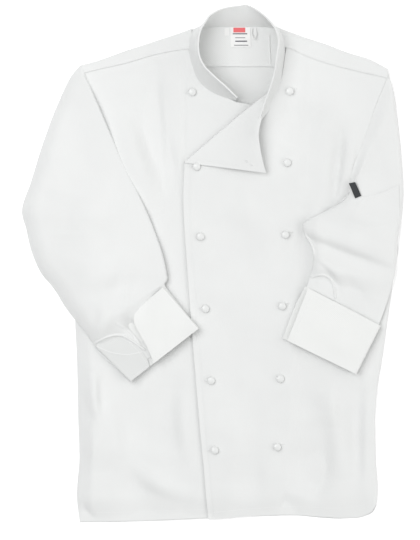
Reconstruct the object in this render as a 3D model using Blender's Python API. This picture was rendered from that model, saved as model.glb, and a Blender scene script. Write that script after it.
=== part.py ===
"""Double-breasted chef jacket, laid flat on its back with the sleeves folded forward.

Each cut piece of cloth is a wall of its own. Lengths are millimetres, turned into the scene's
metres by MM where a mesh is made. +X runs to the wearer's left, +Y from the hem to the collar,
and +Z up from the surface that the back lies on.
"""

import math

import bmesh
import bpy
import numpy as np
from mathutils import Vector

MM = 0.001

# walls and clearances
CLOTH = 1.6
BAND_CLOTH = 2.4
LABEL_CLOTH = 1.0
GAP = 0.5
SLEEVE_GAP = 1.4
LAYER = CLOTH + GAP

# lie of the body
LOFT = 3.4
EDGE_ROLL = 60.0
NECK_RISE = 3.4
NECK_REACH = 45.0
NECK_CENTRE = (39.0, 325.0)
NECK_RADII = (76.0, 62.0)
ROLL_RISE = 9.0
ROLL_REACH = 34.0
ROLL_TOP = (80.0, 260.0)
# share of the loft that is left at the hem, where it starts, and how far it takes to fill out
HEM_LOFT = 0.35
HEM_START = -405.0
HEM_REACH = 60.0
# where the swell round the neck starts, and how far it takes to fill out
NECK_START = 200.0
NECK_EASE = 60.0
# how far in from the sides the folds fill out, the share of a fold left at its ends, and its steps
FOLD_REACH = 40.0
FOLD_END = 0.35
FOLD_STEPS = 13
# where the top panel starts to step down past the under panel's edge, and over what distance
STEP_START = 4.0
STEP_REACH = 26.0
# where a sleeve starts to step up before the top panel's edge, and over what distance
CLIMB_START = 12.0
CLIMB_REACH = 10.0
# rows of SIDES and FRONTS up to which each panel's side runs, and the steps of that side
BACK_SIDE_ROWS = 15
UNDER_SIDE_ROWS = 17
TOP_SIDE_ROWS = 16
UNDER_EDGE_ROWS = 9
TOP_EDGE_ROWS = 8
BACK_STEPS = 13
FRONT_STEPS = 17
SHARP_ANGLE = 40.0

# lie of the sleeves and cuffs
SLEEVE_PUFF = 7.0
DRAPE = 34.0
DRAPE_EXTRA = 2.0
FOLD_POINTS = 5
SLEEVE_STEPS = 11
SLEEVE_SWELL = 2.0
PATCH_LIFT = 2.0
CUFF_RADIUS = 3.0
# the far side of the wearer's right cuff comes down towards the floor from here
CUFF_LOW_X = -240.0
CUFF_LOW_REACH = 60.0

# buttons and trims
BUTTON_RADIUS = 6.4
BUTTON_HEIGHT = 4.6
BUTTON_STAND = 1.9
BUTTON_SIDES = 12
BUTTON_RINGS = 5
BUTTON_FOOT = 0.06

# outline of the body, from the hem up: y, x of the wearer's right side, x of the left side
SIDES = np.array([
    (-412.0, -213.0, 262.0),
    (-377.0, -217.0, 263.0),
    (-309.0, -213.0, 261.0),
    (-247.0, -215.0, 260.0),
    (-188.0, -216.0, 265.0),
    (-153.0, -217.0, 271.0),
    (-89.0, -220.0, 280.0),
    (-30.0, -222.0, 288.0),
    (47.0, -219.0, 292.0),
    (67.0, -208.0, 276.0),
    (95.0, -196.0, 246.0),
    (119.0, -189.0, 228.0),
    (146.0, -186.0, 222.0),
    (183.0, -185.0, 235.0),
    (214.0, -188.0, 247.0),
    (247.0, -193.0, 258.0),
    (284.0, -203.0, 274.0),
    (306.0, -209.0, 282.0),
])

# the edge that the cloth falls to: it stays up along the armholes, where the sleeve holds it
FALL = np.array([
    (-412.0, -213.0, 262.0),
    (-89.0, -220.0, 280.0),
    (10.0, -224.0, 292.0),
    (90.0, -262.0, 332.0),
    (320.0, -275.0, 345.0),
])

# front edges: y, x of the top panel's edge, x of the under panel's edge
FRONTS = np.array([
    (-412.0, -7.0, 113.0),
    (-366.0, -11.0, 114.0),
    (-329.0, -14.0, 115.0),
    (-268.0, -20.0, 117.0),
    (-185.0, -27.0, 119.0),
    (-29.0, -39.0, 125.0),
    (43.0, -44.0, 128.0),
    (100.0, -47.0, 131.0),
    (161.0, -45.0, 133.0),
    (236.0, -45.0, 135.0),
])

# hems, from the wearer's right: x, y
HEM_UNDER = [(-213, -412), (-142, -411), (-80, -409), (-39, -407), (30, -404), (113, -402)]
HEM_TOP = [(-7, -409), (40, -405), (121, -401), (174, -404), (213, -406), (240, -403), (254, -396),
           (262, -384)]
HEM_BACK = [(-213, -413.7), (-80, -412), (60, -405), (121, -403), (213, -408), (242, -405),
            (256, -398), (263, -385)]

# front yoke seams and neck seam, x, y
YOKE_RIGHT = [(-209, 304), (-187, 310), (-139, 321), (-90, 335), (-40, 343)]
YOKE_LEFT = [(118, 345), (137, 337), (158, 329), (179, 322), (210, 313), (235, 307), (280, 297)]
NECK_RIGHT = [(-40, 343), (-40, 330), (-34, 314), (-25, 293), (-10, 278), (14, 265), (38, 259)]
UNDER_TOP = [(38, 259), (80, 251), (135, 236)]
ROLL_LINE = [(-45, 161), (18, 213), (78, 261)]
NECK_LEFT = [(78, 261), (100, 262), (110, 276), (115, 300), (118, 322), (118, 345)]

# yoke columns across the shoulders: x, y of the back seam, y of the shoulder fold or of the
# neck seam, y of the front seam (0 where the neck is)
YOKE_COLUMNS = [
    (-209, 270, 318, 304.6),
    (-187, 279, 324, 310.6),
    (-139, 296, 341, 321.6),
    (-90, 306, 357, 335.6),
    (-42, 313.8, 373, 343.6),
    (-38, 314, 373.5, 0),
    (-30, 315, 377, 0),
    (0, 316.4, 379, 0),
    (47, 316.4, 379, 0),
    (94, 316, 379, 0),
    (106, 315, 377, 0),
    (116, 314, 372, 0),
    (120, 313.4, 372, 345.6),
    (145, 308, 363, 334.6),
    (182, 297, 351, 321.6),
    (219, 284, 337, 311.6),
    (249, 274, 328, 304.6),
    (279, 264, 312, 298.0),
]
YOKE_BACK_ROWS = 3
YOKE_ROLL_ROWS = 5
YOKE_FRONT_ROWS = 1
YOKE_ROLL_START = 6.0

# collar sections from the wearer's right end round to the left: seam x, y, z, top edge x, y, z
COLLAR = np.array([
    (37.0, 262.0, 15.0, 38.7, 264.5, 40.0),
    (14.0, 268.7, 15.0, 19.8, 282.4, 49.0),
    (-9.0, 280.6, 14.5, 1.9, 298.2, 50.0),
    (-23.0, 294.6, 14.0, -13.9, 315.0, 50.0),
    (-32.0, 315.6, 14.0, -21.8, 332.8, 51.0),
    (-38.0, 340.6, 14.0, -22.8, 353.6, 51.0),
    (-37.0, 362.6, 13.0, -18.9, 371.5, 50.0),
    (-29.0, 375.5, 9.5, -10.0, 388.0, 46.0),
    (-16.0, 379.6, 5.0, -4.0, 396.0, 40.0),
    (0.0, 380.5, 4.2, 14.0, 406.0, 33.0),
    (24.0, 381.0, 4.0, 42.8, 411.5, 28.0),
    (70.0, 380.5, 4.2, 58.7, 411.0, 29.0),
    (94.0, 379.6, 4.6, 75.5, 400.4, 36.0),
    (106.0, 376.0, 9.5, 91.2, 385.5, 44.0),
    (114.0, 363.0, 13.0, 101.0, 369.5, 50.0),
    (116.5, 341.0, 14.0, 104.0, 351.6, 51.0),
    (114.5, 320.0, 14.0, 101.0, 326.8, 51.0),
    (110.5, 291.0, 15.0, 98.1, 305.1, 50.0),
    (103.0, 270.0, 20.0, 91.1, 280.3, 50.0),
    (94.5, 256.0, 25.0, 83.2, 257.5, 50.0),
    (86.0, 243.0, 27.0, 72.5, 228.5, 48.0),
])
COLLAR_BULGE = 2.5
COLLAR_SECTIONS = 40
COLLAR_ROWS = 4

# the top panel's corner turned back: roll x, y, outer edge x, y, height of the outer edge
LAPEL = np.array([
    (75.0, 262.0, 79.0, 229.0, 26.0),
    (50.0, 241.0, 75.5, 205.0, 23.0),
    (26.0, 221.5, 77.5, 185.0, 19.5),
    (-10.0, 191.5, 80.5, 165.0, 16.0),
    (-44.0, 163.0, 85.0, 146.0, 13.0),
])
LAPEL_ROLL = 4.4
LAPEL_OVERHANG = 0.5
LAPEL_CLEARANCE = 0.6
LAPEL_STEPS = 6

# sleeve rows from the shoulder to the cuff: inner x, y, outer x, y
SLEEVE_RIGHT = np.array([
    (-147.0, 168.0, -212.0, 317.0),
    (-138.0, 150.0, -226.0, 300.0),
    (-130.0, 134.0, -248.0, 255.0),
    (-122.0, 118.0, -270.0, 197.0),
    (-115.0, 104.0, -290.0, 133.0),
    (-109.0, 91.0, -305.0, 84.0),
    (-101.0, 73.0, -298.0, 56.0),
    (-94.0, 55.0, -290.0, 22.0),
    (-87.0, 36.0, -275.0, -13.0),
    (-80.0, 14.0, -253.0, -40.0),
    (-76.0, -8.0, -232.0, -72.0),
    (-74.0, -24.0, -213.0, -97.0),
    (-77.5, -34.0, -191.0, -127.0),
])
SLEEVE_LEFT = np.array([
    (223.0, 146.0, 283.0, 307.0),
    (222.0, 128.0, 289.0, 276.0),
    (213.0, 106.0, 296.0, 230.0),
    (197.0, 94.0, 301.0, 185.0),
    (175.0, 82.0, 304.0, 145.0),
    (154.0, 71.0, 305.0, 108.0),
    (144.0, 61.0, 302.0, 74.0),
    (148.0, 45.0, 297.0, 47.0),
    (156.0, 32.0, 295.0, 26.0),
    (161.0, 14.0, 294.0, 6.0),
    (160.0, -2.0, 290.0, -20.0),
    (157.0, -16.0, 282.0, -48.0),
    (154.0, -28.0, 273.0, -75.0),
    (152.5, -35.0, 267.5, -94.0),
])

# cuffs: left end x, y and right end x, y of the edge by the sleeve, then of the far edge
CUFF_RIGHT = [(-187.5, -130.8, -79.5, -36.8), (-131.0, -187.0, -23.0, -103.0)]
CUFF_LEFT = [(152.0, -38.0, 267.0, -98.0), (119.0, -122.0, 228.0, -175.0)]
# across each open cuff: depth share, where the lower end stops, where the upper end stops
CUFF_RIGHT_ENDS = np.array([
    (0.0, 22.0, 94.0),
    (0.08, 36.0, 79.0),
    (0.3, 48.0, 70.0),
    (0.6, 51.0, 63.0),
    (1.0, 47.0, 57.0),
])
CUFF_LEFT_ENDS = np.array([
    (0.0, -5.0, 1.0),
    (0.3, -8.0, 0.0),
    (0.65, -9.0, 0.0),
    (1.0, -8.0, 0.0),
])

# pieces sewn on a sleeve: sleeve row and share of its width at each corner
POCKET = [(4.0, 0.60), (3.6, 0.90), (6.2, 0.90), (6.2, 0.60)]
VENT_RIGHT = [(10.2, 0.55), (10.2, 0.61), (11.9, 0.61), (11.9, 0.55)]
VENT_LEFT = [(10.6, 0.30), (10.6, 0.37), (12.9, 0.37), (12.9, 0.30)]
# the folded tag at the pocket's corner: corners x, y, and its height
POCKET_TAG = [(227, 105), (237, 109), (227, 131), (217, 129)]
POCKET_TAG_HEIGHT = 21.5

# trims behind the neck: corners x, y
NECK_LABEL = [(29, 347), (61, 348), (60, 377), (28, 376)]
SIZE_TAB = [(19, 366), (26.5, 366), (26.5, 376), (19, 376)]
HANGER_LOOP = [(63, 361), (69, 361), (69, 377), (63, 377)]

# the largest folds of the body: start, middle and end x, y, half width, height
BODY_FOLDS = [
    (-92, 300, -86, 210, -80, 103, 15, -2.4),
    (-158, 255, -118, 145, -84, 77, 24, 3.0),
    (10, 72, 45, 40, 80, 0, 30, -1.4),
    (135, 100, 142, 30, 148, -40, 24, -2.0),
    (208, 180, 202, 150, 188, 105, 14, 3.0),
    (-67, -193, -74, -250, -62, -305, 18, -2.2),
    (-142, -325, -120, -375, -30, -388, 16, -1.8),
    (-172, -225, -164, -275, -158, -325, 22, 2.6),
    (169, -245, 184, -320, 158, -377, 18, -2.2),
    (233, -200, 227, -265, 229, -332, 14, -1.8),
    (200, -205, 203, -275, 206, -345, 20, 2.2),
]
# the largest folds of the sleeves, written the same way
SLEEVE_FOLDS = [
    (161, 37, 215, 14, 274, -6, 12, -3.0),
    (176, 58, 222, 40, 272, 36, 14, 3.0),
    (-150, -20, -190, -28, -250, -20, 13, 2.6),
    (-120, 60, -170, 40, -260, 50, 18, 2.4),
    (-135, -60, -165, -75, -195, -80, 12, -2.0),
]

# button rows from the collar down: y of both, x in the wearer's right column, x in the left,
# and how far the left column's stud stands above or below its neighbour
BUTTONS = [
    (275, -33, 123, 1),
    (156, -26, 119, 6),
    (44, -20, 116, 3),
    (-71, -12, 111, 4),
    (-186, -3, 108, 3),
    (-297, 3, 103, 5),
]

# colours and finish of each material
WHITE_TWILL = (0.86, 0.87, 0.86)
WHITE_TAPE = (0.84, 0.84, 0.82)
GLOSS_WHITE = (0.88, 0.88, 0.87)
CHARCOAL = (0.035, 0.04, 0.045)
CLOTH_ROUGHNESS = 0.85
BUTTON_ROUGHNESS = 0.22


def material(name, colour, roughness):
    """A plain dielectric finish."""
    finish = bpy.data.materials.new(name)
    finish.use_nodes = True
    shader = finish.node_tree.nodes["Principled BSDF"]
    shader.inputs["Base Color"].default_value = (*colour, 1.0)
    shader.inputs["Roughness"].default_value = roughness
    shader.inputs["Metallic"].default_value = 0.0
    return finish


def ease(value):
    """A soft step from 0 to 1 as the value goes from 0 to 1."""
    value = np.clip(value, 0.0, 1.0)
    return value * value * (3.0 - 2.0 * value)


def curve(points, count):
    """A smooth line through the points, read at count even steps of its chord."""
    points = np.asarray(points, float)
    chord = np.linalg.norm(np.diff(points, axis=0), axis=1)
    at = np.concatenate([[0.0], np.cumsum(chord)])
    slope = np.gradient(points, at, axis=0)
    where = np.linspace(0.0, at[-1], count)
    low = np.clip(np.searchsorted(at, where, side="right") - 1, 0, len(at) - 2)
    span = (at[low + 1] - at[low])[:, None]
    t = (where - at[low])[:, None] / span
    start, end = points[low], points[low + 1]
    lean, land = slope[low] * span, slope[low + 1] * span
    hermite = (2 * t**3 - 3 * t**2 + 1) * start + (t**3 - 2 * t**2 + t) * lean
    return hermite + (3 * t**2 - 2 * t**3) * end + (t**3 - t**2) * land


def corner_line(*runs):
    """Smooth runs joined at corners, one after the other: points and how many steps each has."""
    joined = [curve(points, steps + 1) for points, steps in runs]
    return np.concatenate([joined[0]] + [run[1:] for run in joined[1:]])


def patch(bottom, top, left, right):
    """A grid of points over four edges that share their corners."""
    u = np.linspace(0.0, 1.0, len(bottom))[:, None, None]
    v = np.linspace(0.0, 1.0, len(left))[None, :, None]
    across = (1 - v) * bottom[:, None] + v * top[:, None]
    along = (1 - u) * left[None] + u * right[None]
    corners = (1 - u) * ((1 - v) * bottom[0] + v * top[0]) + u * ((1 - v) * bottom[-1] + v * top[-1])
    return across + along - corners


def fold_height(x, y, folds):
    """The height that soft troughs and ridges add at each point."""
    total = np.zeros(np.shape(x))
    for x0, y0, x1, y1, x2, y2, half_width, height in folds:
        t = np.linspace(0.0, 1.0, FOLD_STEPS)
        line_x = (1 - t) ** 2 * x0 + 2 * t * (1 - t) * x1 + t**2 * x2
        line_y = (1 - t) ** 2 * y0 + 2 * t * (1 - t) * y1 + t**2 * y2
        away = np.hypot(x[..., None] - line_x, y[..., None] - line_y) / half_width
        along = FOLD_END + (1.0 - FOLD_END) * np.sin(math.pi * t)
        total = total + height * np.max(np.exp(-(away**2)) * along, -1)
    return total


def between(table, y, column):
    return np.interp(y, table[:, 0], table[:, column])


def rise_of_front(x, y):
    """How far the cloth of the front stands off the back at each point."""
    x, y = np.asarray(x, float), np.asarray(y, float)
    to_side = np.minimum(x - between(FALL, y, 1), between(FALL, y, 2) - x)
    at_hem = HEM_LOFT + (1.0 - HEM_LOFT) * ease((y - HEM_START) / HEM_REACH)
    rise = LOFT * ease(to_side / EDGE_ROLL) * at_hem
    ring = np.hypot((x - NECK_CENTRE[0]) / NECK_RADII[0], (y - NECK_CENTRE[1]) / NECK_RADII[1])
    away = np.abs(ring - 1.0) * NECK_RADII[1]
    rise = rise + NECK_RISE * np.exp(-((away / NECK_REACH) ** 2)) * ease((y - NECK_START) / NECK_EASE)
    return np.maximum(rise + fold_height(x, y, BODY_FOLDS) * ease(to_side / FOLD_REACH), 0.0)


def under_mid(x, y):
    """Middle height of the under panel's wall."""
    return LAYER + CLOTH / 2 + rise_of_front(x, y)


def roll_lift(x, y):
    """The swell under the start of the turned-back corner."""
    away = np.hypot(np.asarray(x, float) - ROLL_TOP[0], np.asarray(y, float) - ROLL_TOP[1])
    return ROLL_RISE * np.exp(-((away / ROLL_REACH) ** 2))


def top_mid(x, y):
    """Middle height of the top panel's wall, which steps down past the under panel's edge."""
    y = np.asarray(y, float)
    past = (np.asarray(x, float) - between(FRONTS, y, 2) - STEP_START) / STEP_REACH
    return under_mid(x, y) + LAYER * (1.0 - ease(past)) + roll_lift(x, y)


def stack_top(x, y):
    """Top of the body where a sleeve lies on it, easing down to the floor beside it."""
    x, y = np.asarray(x, float), np.asarray(y, float)
    inside = np.minimum(x - between(SIDES, y, 1), between(SIDES, y, 2) - x)
    on_top = ease((x - between(FRONTS, y, 1) + CLIMB_START) / CLIMB_REACH)
    top = under_mid(x, y) * (1 - on_top) + top_mid(x, y) * on_top + CLOTH / 2 + SLEEVE_GAP
    return top * ease((inside + DRAPE + DRAPE_EXTRA) / DRAPE)


def solid(name, outer, inner, quads, finish):
    """One closed wall between two like sets of points that share their quads."""
    mesh = bmesh.new()
    tops = [mesh.verts.new(point * MM) for point in outer]
    unders = [mesh.verts.new(point * MM) for point in inner]
    edges = {}
    for quad in quads:
        mesh.faces.new([tops[i] for i in quad])
        mesh.faces.new([unders[i] for i in reversed(quad)])
        for a, b in zip(quad, quad[1:] + quad[:1]):
            edges[(a, b)] = (b, a) not in edges
            if (b, a) in edges:
                edges[(b, a)] = False
    for (a, b), free in edges.items():
        if free:
            mesh.faces.new([tops[b], tops[a], unders[a], unders[b]])
    bmesh.ops.recalc_face_normals(mesh, faces=mesh.faces)
    bmesh.ops.triangulate(mesh, faces=mesh.faces)
    data = bpy.data.meshes.new(name)
    mesh.to_mesh(data)
    mesh.free()
    data.shade_smooth()
    data.set_sharp_from_angle(angle=math.radians(SHARP_ANGLE))
    data.materials.append(finish)
    piece = bpy.data.objects.new(name, data)
    bpy.context.scene.collection.objects.link(piece)
    return piece


def grid_quads(columns, rows, closed=False):
    """Quads of a grid of columns by rows, whose rows may close into rings."""
    last = rows if closed else rows - 1
    return [
        (i * rows + j, (i + 1) * rows + j, (i + 1) * rows + (j + 1) % rows, i * rows + (j + 1) % rows)
        for i in range(columns - 1)
        for j in range(last)
    ]


def panel(name, grid, mid, wall, finish):
    """A lying panel: a grid of x, y points with the middle height of its wall at each."""
    columns, rows = grid.shape[:2]
    height = np.broadcast_to(mid, (columns, rows))
    flat = np.dstack([grid, height]).reshape(-1, 3)
    half = np.array((0.0, 0.0, wall / 2))
    return solid(name, flat + half, flat - half, grid_quads(columns, rows), finish)


def section_normals(path, closed):
    """Unit normals of a line in a section's plane, to the left of its way."""
    if closed:
        along = np.roll(path, -1, axis=0) - np.roll(path, 1, axis=0)
    else:
        along = np.gradient(path, axis=0)
    along = along / np.linalg.norm(along, axis=1)[:, None]
    return np.column_stack([-along[:, 1], along[:, 0]])


def band(name, rows, path_of, wall, finish, closed=False):
    """A wall through rows: each has a left and a right point and a section path between them.

    path_of(index, width) gives the section as distance from the left point and height.
    """
    outer, inner = [], []
    for index, (x0, y0, x1, y1) in enumerate(rows):
        start, end = np.array((x0, y0)), np.array((x1, y1))
        width = np.linalg.norm(end - start)
        way = (end - start) / width
        path, base = path_of(index, width, start, way)
        normal = section_normals(path, closed)
        for side, store in ((1, outer), (-1, inner)):
            line = path + side * wall / 2 * normal
            plan = start + line[:, :1] * way
            store.append(np.column_stack([plan, line[:, 1] + base]))
    count = len(outer[0])
    quads = grid_quads(len(outer), count, closed)
    return solid(name, np.concatenate(outer), np.concatenate(inner), quads, finish)


def flat_ring(width, puff, steps):
    """A flattened tube's section: straight below and above, with a half circle at each end."""
    radius = puff / 2
    turn = np.linspace(-math.pi / 2, math.pi / 2, FOLD_POINTS)
    right = np.column_stack([width - radius + radius * np.cos(turn), radius + radius * np.sin(turn)])
    left = np.column_stack([radius - radius * np.cos(turn), radius - radius * np.sin(turn)])
    share = np.linspace(0.0, 1.0, steps + 1)[1:-1]
    run = radius + share * (width - 2 * radius)
    below = np.column_stack([run, np.zeros(len(run))])
    above = np.column_stack([run[::-1], np.full(len(run), puff)])
    return np.concatenate([below, right, above, left])


def sleeve(name, rows, finish):
    """A flattened tube from the armhole to the cuff that lies on the body and on the floor."""
    def path_of(index, width, start, way):
        path = flat_ring(width, SLEEVE_PUFF - CLOTH, SLEEVE_STEPS)
        plan = start + path[:, :1] * way
        base = stack_top(plan[:, 0], plan[:, 1]) + CLOTH / 2
        lift = fold_height(plan[:, 0], plan[:, 1], SLEEVE_FOLDS)
        upper = path[:, 1] / (SLEEVE_PUFF - CLOTH)
        swell = SLEEVE_SWELL * np.sin(math.pi * np.clip(path[:, 0] / width, 0.0, 1.0)) * upper
        return path, base + swell + lift * ease(upper * 2 - 1)

    return band(name, rows, path_of, CLOTH, finish, closed=True)


def sleeve_top(rows, row, share):
    """Top of a sleeve at a row, counted in rows, and at a share of its width."""
    x0, y0, x1, y1 = (np.interp(row, np.arange(len(rows)), rows[:, i]) for i in range(4))
    x, y = x0 + (x1 - x0) * share, y0 + (y1 - y0) * share
    swell = SLEEVE_SWELL * np.sin(math.pi * share)
    fold = fold_height(x, y, SLEEVE_FOLDS)
    return x, y, stack_top(x, y) + SLEEVE_PUFF + swell + fold


def on_sleeve(name, sleeve_rows, corners, wall, finish, steps=(6, 6)):
    """A patch on a sleeve: rows and shares of the sleeve at its four corners."""
    (r0, s0), (r1, s1), (r2, s2), (r3, s3) = corners
    u = np.linspace(0.0, 1.0, steps[0] + 1)[:, None]
    v = np.linspace(0.0, 1.0, steps[1] + 1)[None, :]
    row = (1 - v) * ((1 - u) * r0 + u * r1) + v * ((1 - u) * r3 + u * r2)
    share = (1 - v) * ((1 - u) * s0 + u * s1) + v * ((1 - u) * s3 + u * s2)
    x, y, top = sleeve_top(sleeve_rows, row, share)
    return panel(name, np.dstack([x, y]), top + PATCH_LIFT + wall / 2, wall, finish)


def make_back(finish):
    hem = curve(HEM_BACK, len(YOKE_COLUMNS))
    seam = np.array([(x, back) for x, back, _, _ in YOKE_COLUMNS], float)
    sides = SIDES[1:BACK_SIDE_ROWS]
    left = curve([hem[0]] + [(x, y) for y, x, _ in sides] + [seam[0]], BACK_STEPS)
    right = curve([hem[-1]] + [(x, y) for y, _, x in sides] + [seam[-1]], BACK_STEPS)
    panel("back_panel", patch(hem, seam, left, right), CLOTH / 2, CLOTH, finish)


def make_yoke(finish):
    """One piece over both shoulders, which joins behind the neck."""
    points, normals, quads, starts = [], [], [], []
    for x, back, fold, front in YOKE_COLUMNS:
        rows = np.linspace(back + GAP, fold if front == 0 else fold - YOKE_ROLL_START, YOKE_BACK_ROWS + 1)
        path = [(y, CLOTH / 2) for y in rows]
        if front:
            start = top_mid(x, front) if x > 0 else under_mid(x, front)
            radius = (start - CLOTH / 2) / 2
            turn = np.linspace(-math.pi / 2, math.pi / 2, YOKE_ROLL_ROWS)
            middle = fold - radius - CLOTH / 2
            path += [(middle + radius * math.cos(a), CLOTH / 2 + radius + radius * math.sin(a)) for a in turn]
            for share in np.linspace(0.0, 1.0, YOKE_FRONT_ROWS + 1)[1:]:
                path.append((middle + (front - middle) * share, start))
        path = np.array(path)
        normal = section_normals(path, False)
        starts.append((len(points), len(path)))
        points += [np.array((x, y, z)) for y, z in path]
        normals += [np.array((0.0, a, b)) for a, b in normal]
    for (first, count), (second, next_count) in zip(starts, starts[1:]):
        for j in range(min(count, next_count) - 1):
            quads.append((first + j, second + j, second + j + 1, first + j + 1))
    points, normals = np.array(points), np.array(normals)
    half = CLOTH / 2 * normals
    solid("yoke", points + half, points - half, quads, finish)


def make_fronts(finish):
    """The under panel, then the top panel over it."""
    hem = curve(HEM_UNDER, 14)
    top = corner_line((YOKE_RIGHT, 5), (NECK_RIGHT, 5), (UNDER_TOP, 3))
    side, edge = SIDES[1:UNDER_SIDE_ROWS], FRONTS[1:UNDER_EDGE_ROWS]
    left = curve([hem[0]] + [(x, y) for y, x, _ in side] + [top[0]], FRONT_STEPS)
    right = curve([hem[-1]] + [(x, y) for y, _, x in edge] + [top[-1]], FRONT_STEPS)
    grid = patch(hem, top, left, right)
    panel("front_right", grid, under_mid(grid[..., 0], grid[..., 1]), CLOTH, finish)

    hem = curve(HEM_TOP, 15)
    top = corner_line((ROLL_LINE, 4), (NECK_LEFT, 4), (YOKE_LEFT, 6))
    side, edge = SIDES[1:TOP_SIDE_ROWS], FRONTS[1:TOP_EDGE_ROWS]
    left = curve([hem[0]] + [(x, y) for y, x, _ in edge] + [top[0]], FRONT_STEPS)
    right = curve([hem[-1]] + [(x, y) for y, _, x in side] + [top[-1]], FRONT_STEPS)
    grid = patch(hem, top, left, right)
    panel("front_left", grid, top_mid(grid[..., 0], grid[..., 1]), CLOTH, finish)


def make_lapel(finish):
    """The corner of the top panel, rolled back along a slanting line and clear of the chest."""
    def path_of(index, width, start, way):
        turn = np.linspace(-math.pi / 2, math.pi / 2, FOLD_POINTS)
        roll = np.column_stack([-LAPEL_OVERHANG - LAPEL_ROLL * np.cos(turn), LAPEL_ROLL * (1 + np.sin(turn))])
        share = np.linspace(0.0, 1.0, LAPEL_STEPS + 1)[1:]
        plan = start + share[:, None] * width * way
        at_roll = top_mid(*start)
        edge = LAPEL[index, 4]
        tops = top_mid(plan[:, 0], plan[:, 1]) + LAYER + LAPEL_CLEARANCE
        wanted = at_roll + 2 * LAPEL_ROLL + (edge - at_roll - 2 * LAPEL_ROLL) * ease(share)
        run = np.column_stack([share * width, np.maximum(wanted, tops) - at_roll])
        return np.concatenate([roll, run]), at_roll

    band("front_left_turned_corner", LAPEL[:, :4], path_of, CLOTH, finish)


def make_collar(finish):
    """A stand collar: a bowed band from one end round the back of the neck to the other."""
    sections = curve(COLLAR, COLLAR_SECTIONS + 1)
    seam, edge = sections[:, :3], sections[:, 3:]
    along = np.gradient(seam[:, :2], axis=0)
    out = np.column_stack([along[:, 1], -along[:, 0], np.zeros(len(along))])
    out = -out / np.linalg.norm(out, axis=1)[:, None]
    share = np.linspace(0.0, 1.0, COLLAR_ROWS + 1)[None, :, None]
    rise = edge - seam
    mid = seam[:, None] * (1 - share) + edge[:, None] * share
    mid = mid - COLLAR_BULGE * np.sin(math.pi * share) * out[:, None]
    run = np.column_stack([along, np.zeros(len(along))])
    normal = np.cross(run, rise)
    normal = normal / np.linalg.norm(normal, axis=1)[:, None]
    half = BAND_CLOTH / 2 * np.broadcast_to(normal[:, None], mid.shape)
    points = mid.reshape(-1, 3)
    half = half.reshape(-1, 3)
    quads = grid_quads(len(seam), COLLAR_ROWS + 1)
    solid("collar", points + half, points - half, quads, finish)


def cuff_rows(corners, ends):
    """Rows of a cuff between its sleeve edge and its far edge, at the depths in the table."""
    near, far = np.array(corners[0]), np.array(corners[1])
    return [near + (far - near) * depth for depth in ends[:, 0]]


def make_cuff(name, corners, ends, lower_turns_up, finish):
    """A turned-back band round the sleeve's end, open along a slit between its two ends."""
    low = BAND_CLOTH / 2
    rows = cuff_rows(corners, ends)
    plan = np.array(rows).reshape(-1, 2)
    base = float(np.max(stack_top(plan[:, 0], plan[:, 1])))
    radius = CUFF_RADIUS

    def path_of(index, width, start, way):
        _, lower, upper = ends[index]
        turn = np.linspace(-math.pi / 2, math.pi / 2, FOLD_POINTS)
        right = np.column_stack([width - radius + radius * np.cos(turn), radius + radius * np.sin(turn)])
        left = np.column_stack([radius - radius * np.cos(turn), radius + radius * np.sin(turn)])[::-1]
        top = np.column_stack([np.linspace(width - radius, upper, 6)[1:], np.full(5, 2 * radius)])
        if lower_turns_up:
            tail = np.column_stack([np.linspace(lower, radius, 5)[:-1], np.full(4, 2 * radius)])
            run = np.column_stack([np.linspace(radius, width - radius, 8)[1:-1], np.zeros(6)])
            path = np.concatenate([tail, left, run, right, top])
        else:
            run = np.column_stack([np.linspace(lower, width - radius, 9)[:-1], np.zeros(8)])
            path = np.concatenate([run, right, top])
        plan = start + path[:, :1] * way
        rest = stack_top(plan[:, 0], plan[:, 1])
        return path, np.maximum(rest, base * ease((plan[:, 0] - CUFF_LOW_X) / CUFF_LOW_REACH)) + low

    band(name, rows, path_of, BAND_CLOTH, finish)


def make_buttons(finish):
    """Domed studs in two columns, each on the panel that it closes."""
    for number, (y, right_x, left_x, offset) in enumerate(BUTTONS, start=1):
        for side, x, at_y in (("right", right_x, y), ("left", left_x, y + offset)):
            under = side == "right" and number == 1
            mid = under_mid(x, at_y) if under else top_mid(x, at_y)
            mesh = bmesh.new()
            bmesh.ops.create_uvsphere(mesh, u_segments=BUTTON_SIDES, v_segments=BUTTON_RINGS,
                                      radius=BUTTON_RADIUS * MM)
            for vert in mesh.verts:
                vert.co.z *= BUTTON_HEIGHT / BUTTON_RADIUS if vert.co.z > 0 else BUTTON_FOOT
            base = float(mid) + CLOTH / 2 + BUTTON_STAND
            for vert in mesh.verts:
                vert.co += Vector((x, at_y, base)) * MM
            bmesh.ops.triangulate(mesh, faces=mesh.faces)
            name = f"button_{side}_{number}"
            data = bpy.data.meshes.new(name)
            mesh.to_mesh(data)
            mesh.free()
            data.shade_smooth()
            data.materials.append(finish)
            bpy.context.scene.collection.objects.link(bpy.data.objects.new(name, data))


def flat_piece(name, corners, mid, wall, finish, steps=(2, 2)):
    """A small four-cornered piece at one height."""
    a, b, c, d = (np.array(corner, float) for corner in corners)
    bottom = np.linspace(a, b, steps[0] + 1)
    top = np.linspace(d, c, steps[0] + 1)
    grid = patch(bottom, top, np.linspace(a, d, steps[1] + 1), np.linspace(b, c, steps[1] + 1))
    return panel(name, grid, mid, wall, finish)


def make_neck_trims(tape):
    """Woven label, size tab and hanger loop, sewn behind the neck."""
    mid = CLOTH + GAP + LABEL_CLOTH / 2
    flat_piece("neck_label", NECK_LABEL, mid, LABEL_CLOTH, tape)
    flat_piece("size_tab", SIZE_TAB, mid, LABEL_CLOTH, tape)
    flat_piece("hanger_loop", HANGER_LOOP, mid, LABEL_CLOTH, tape)


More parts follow.
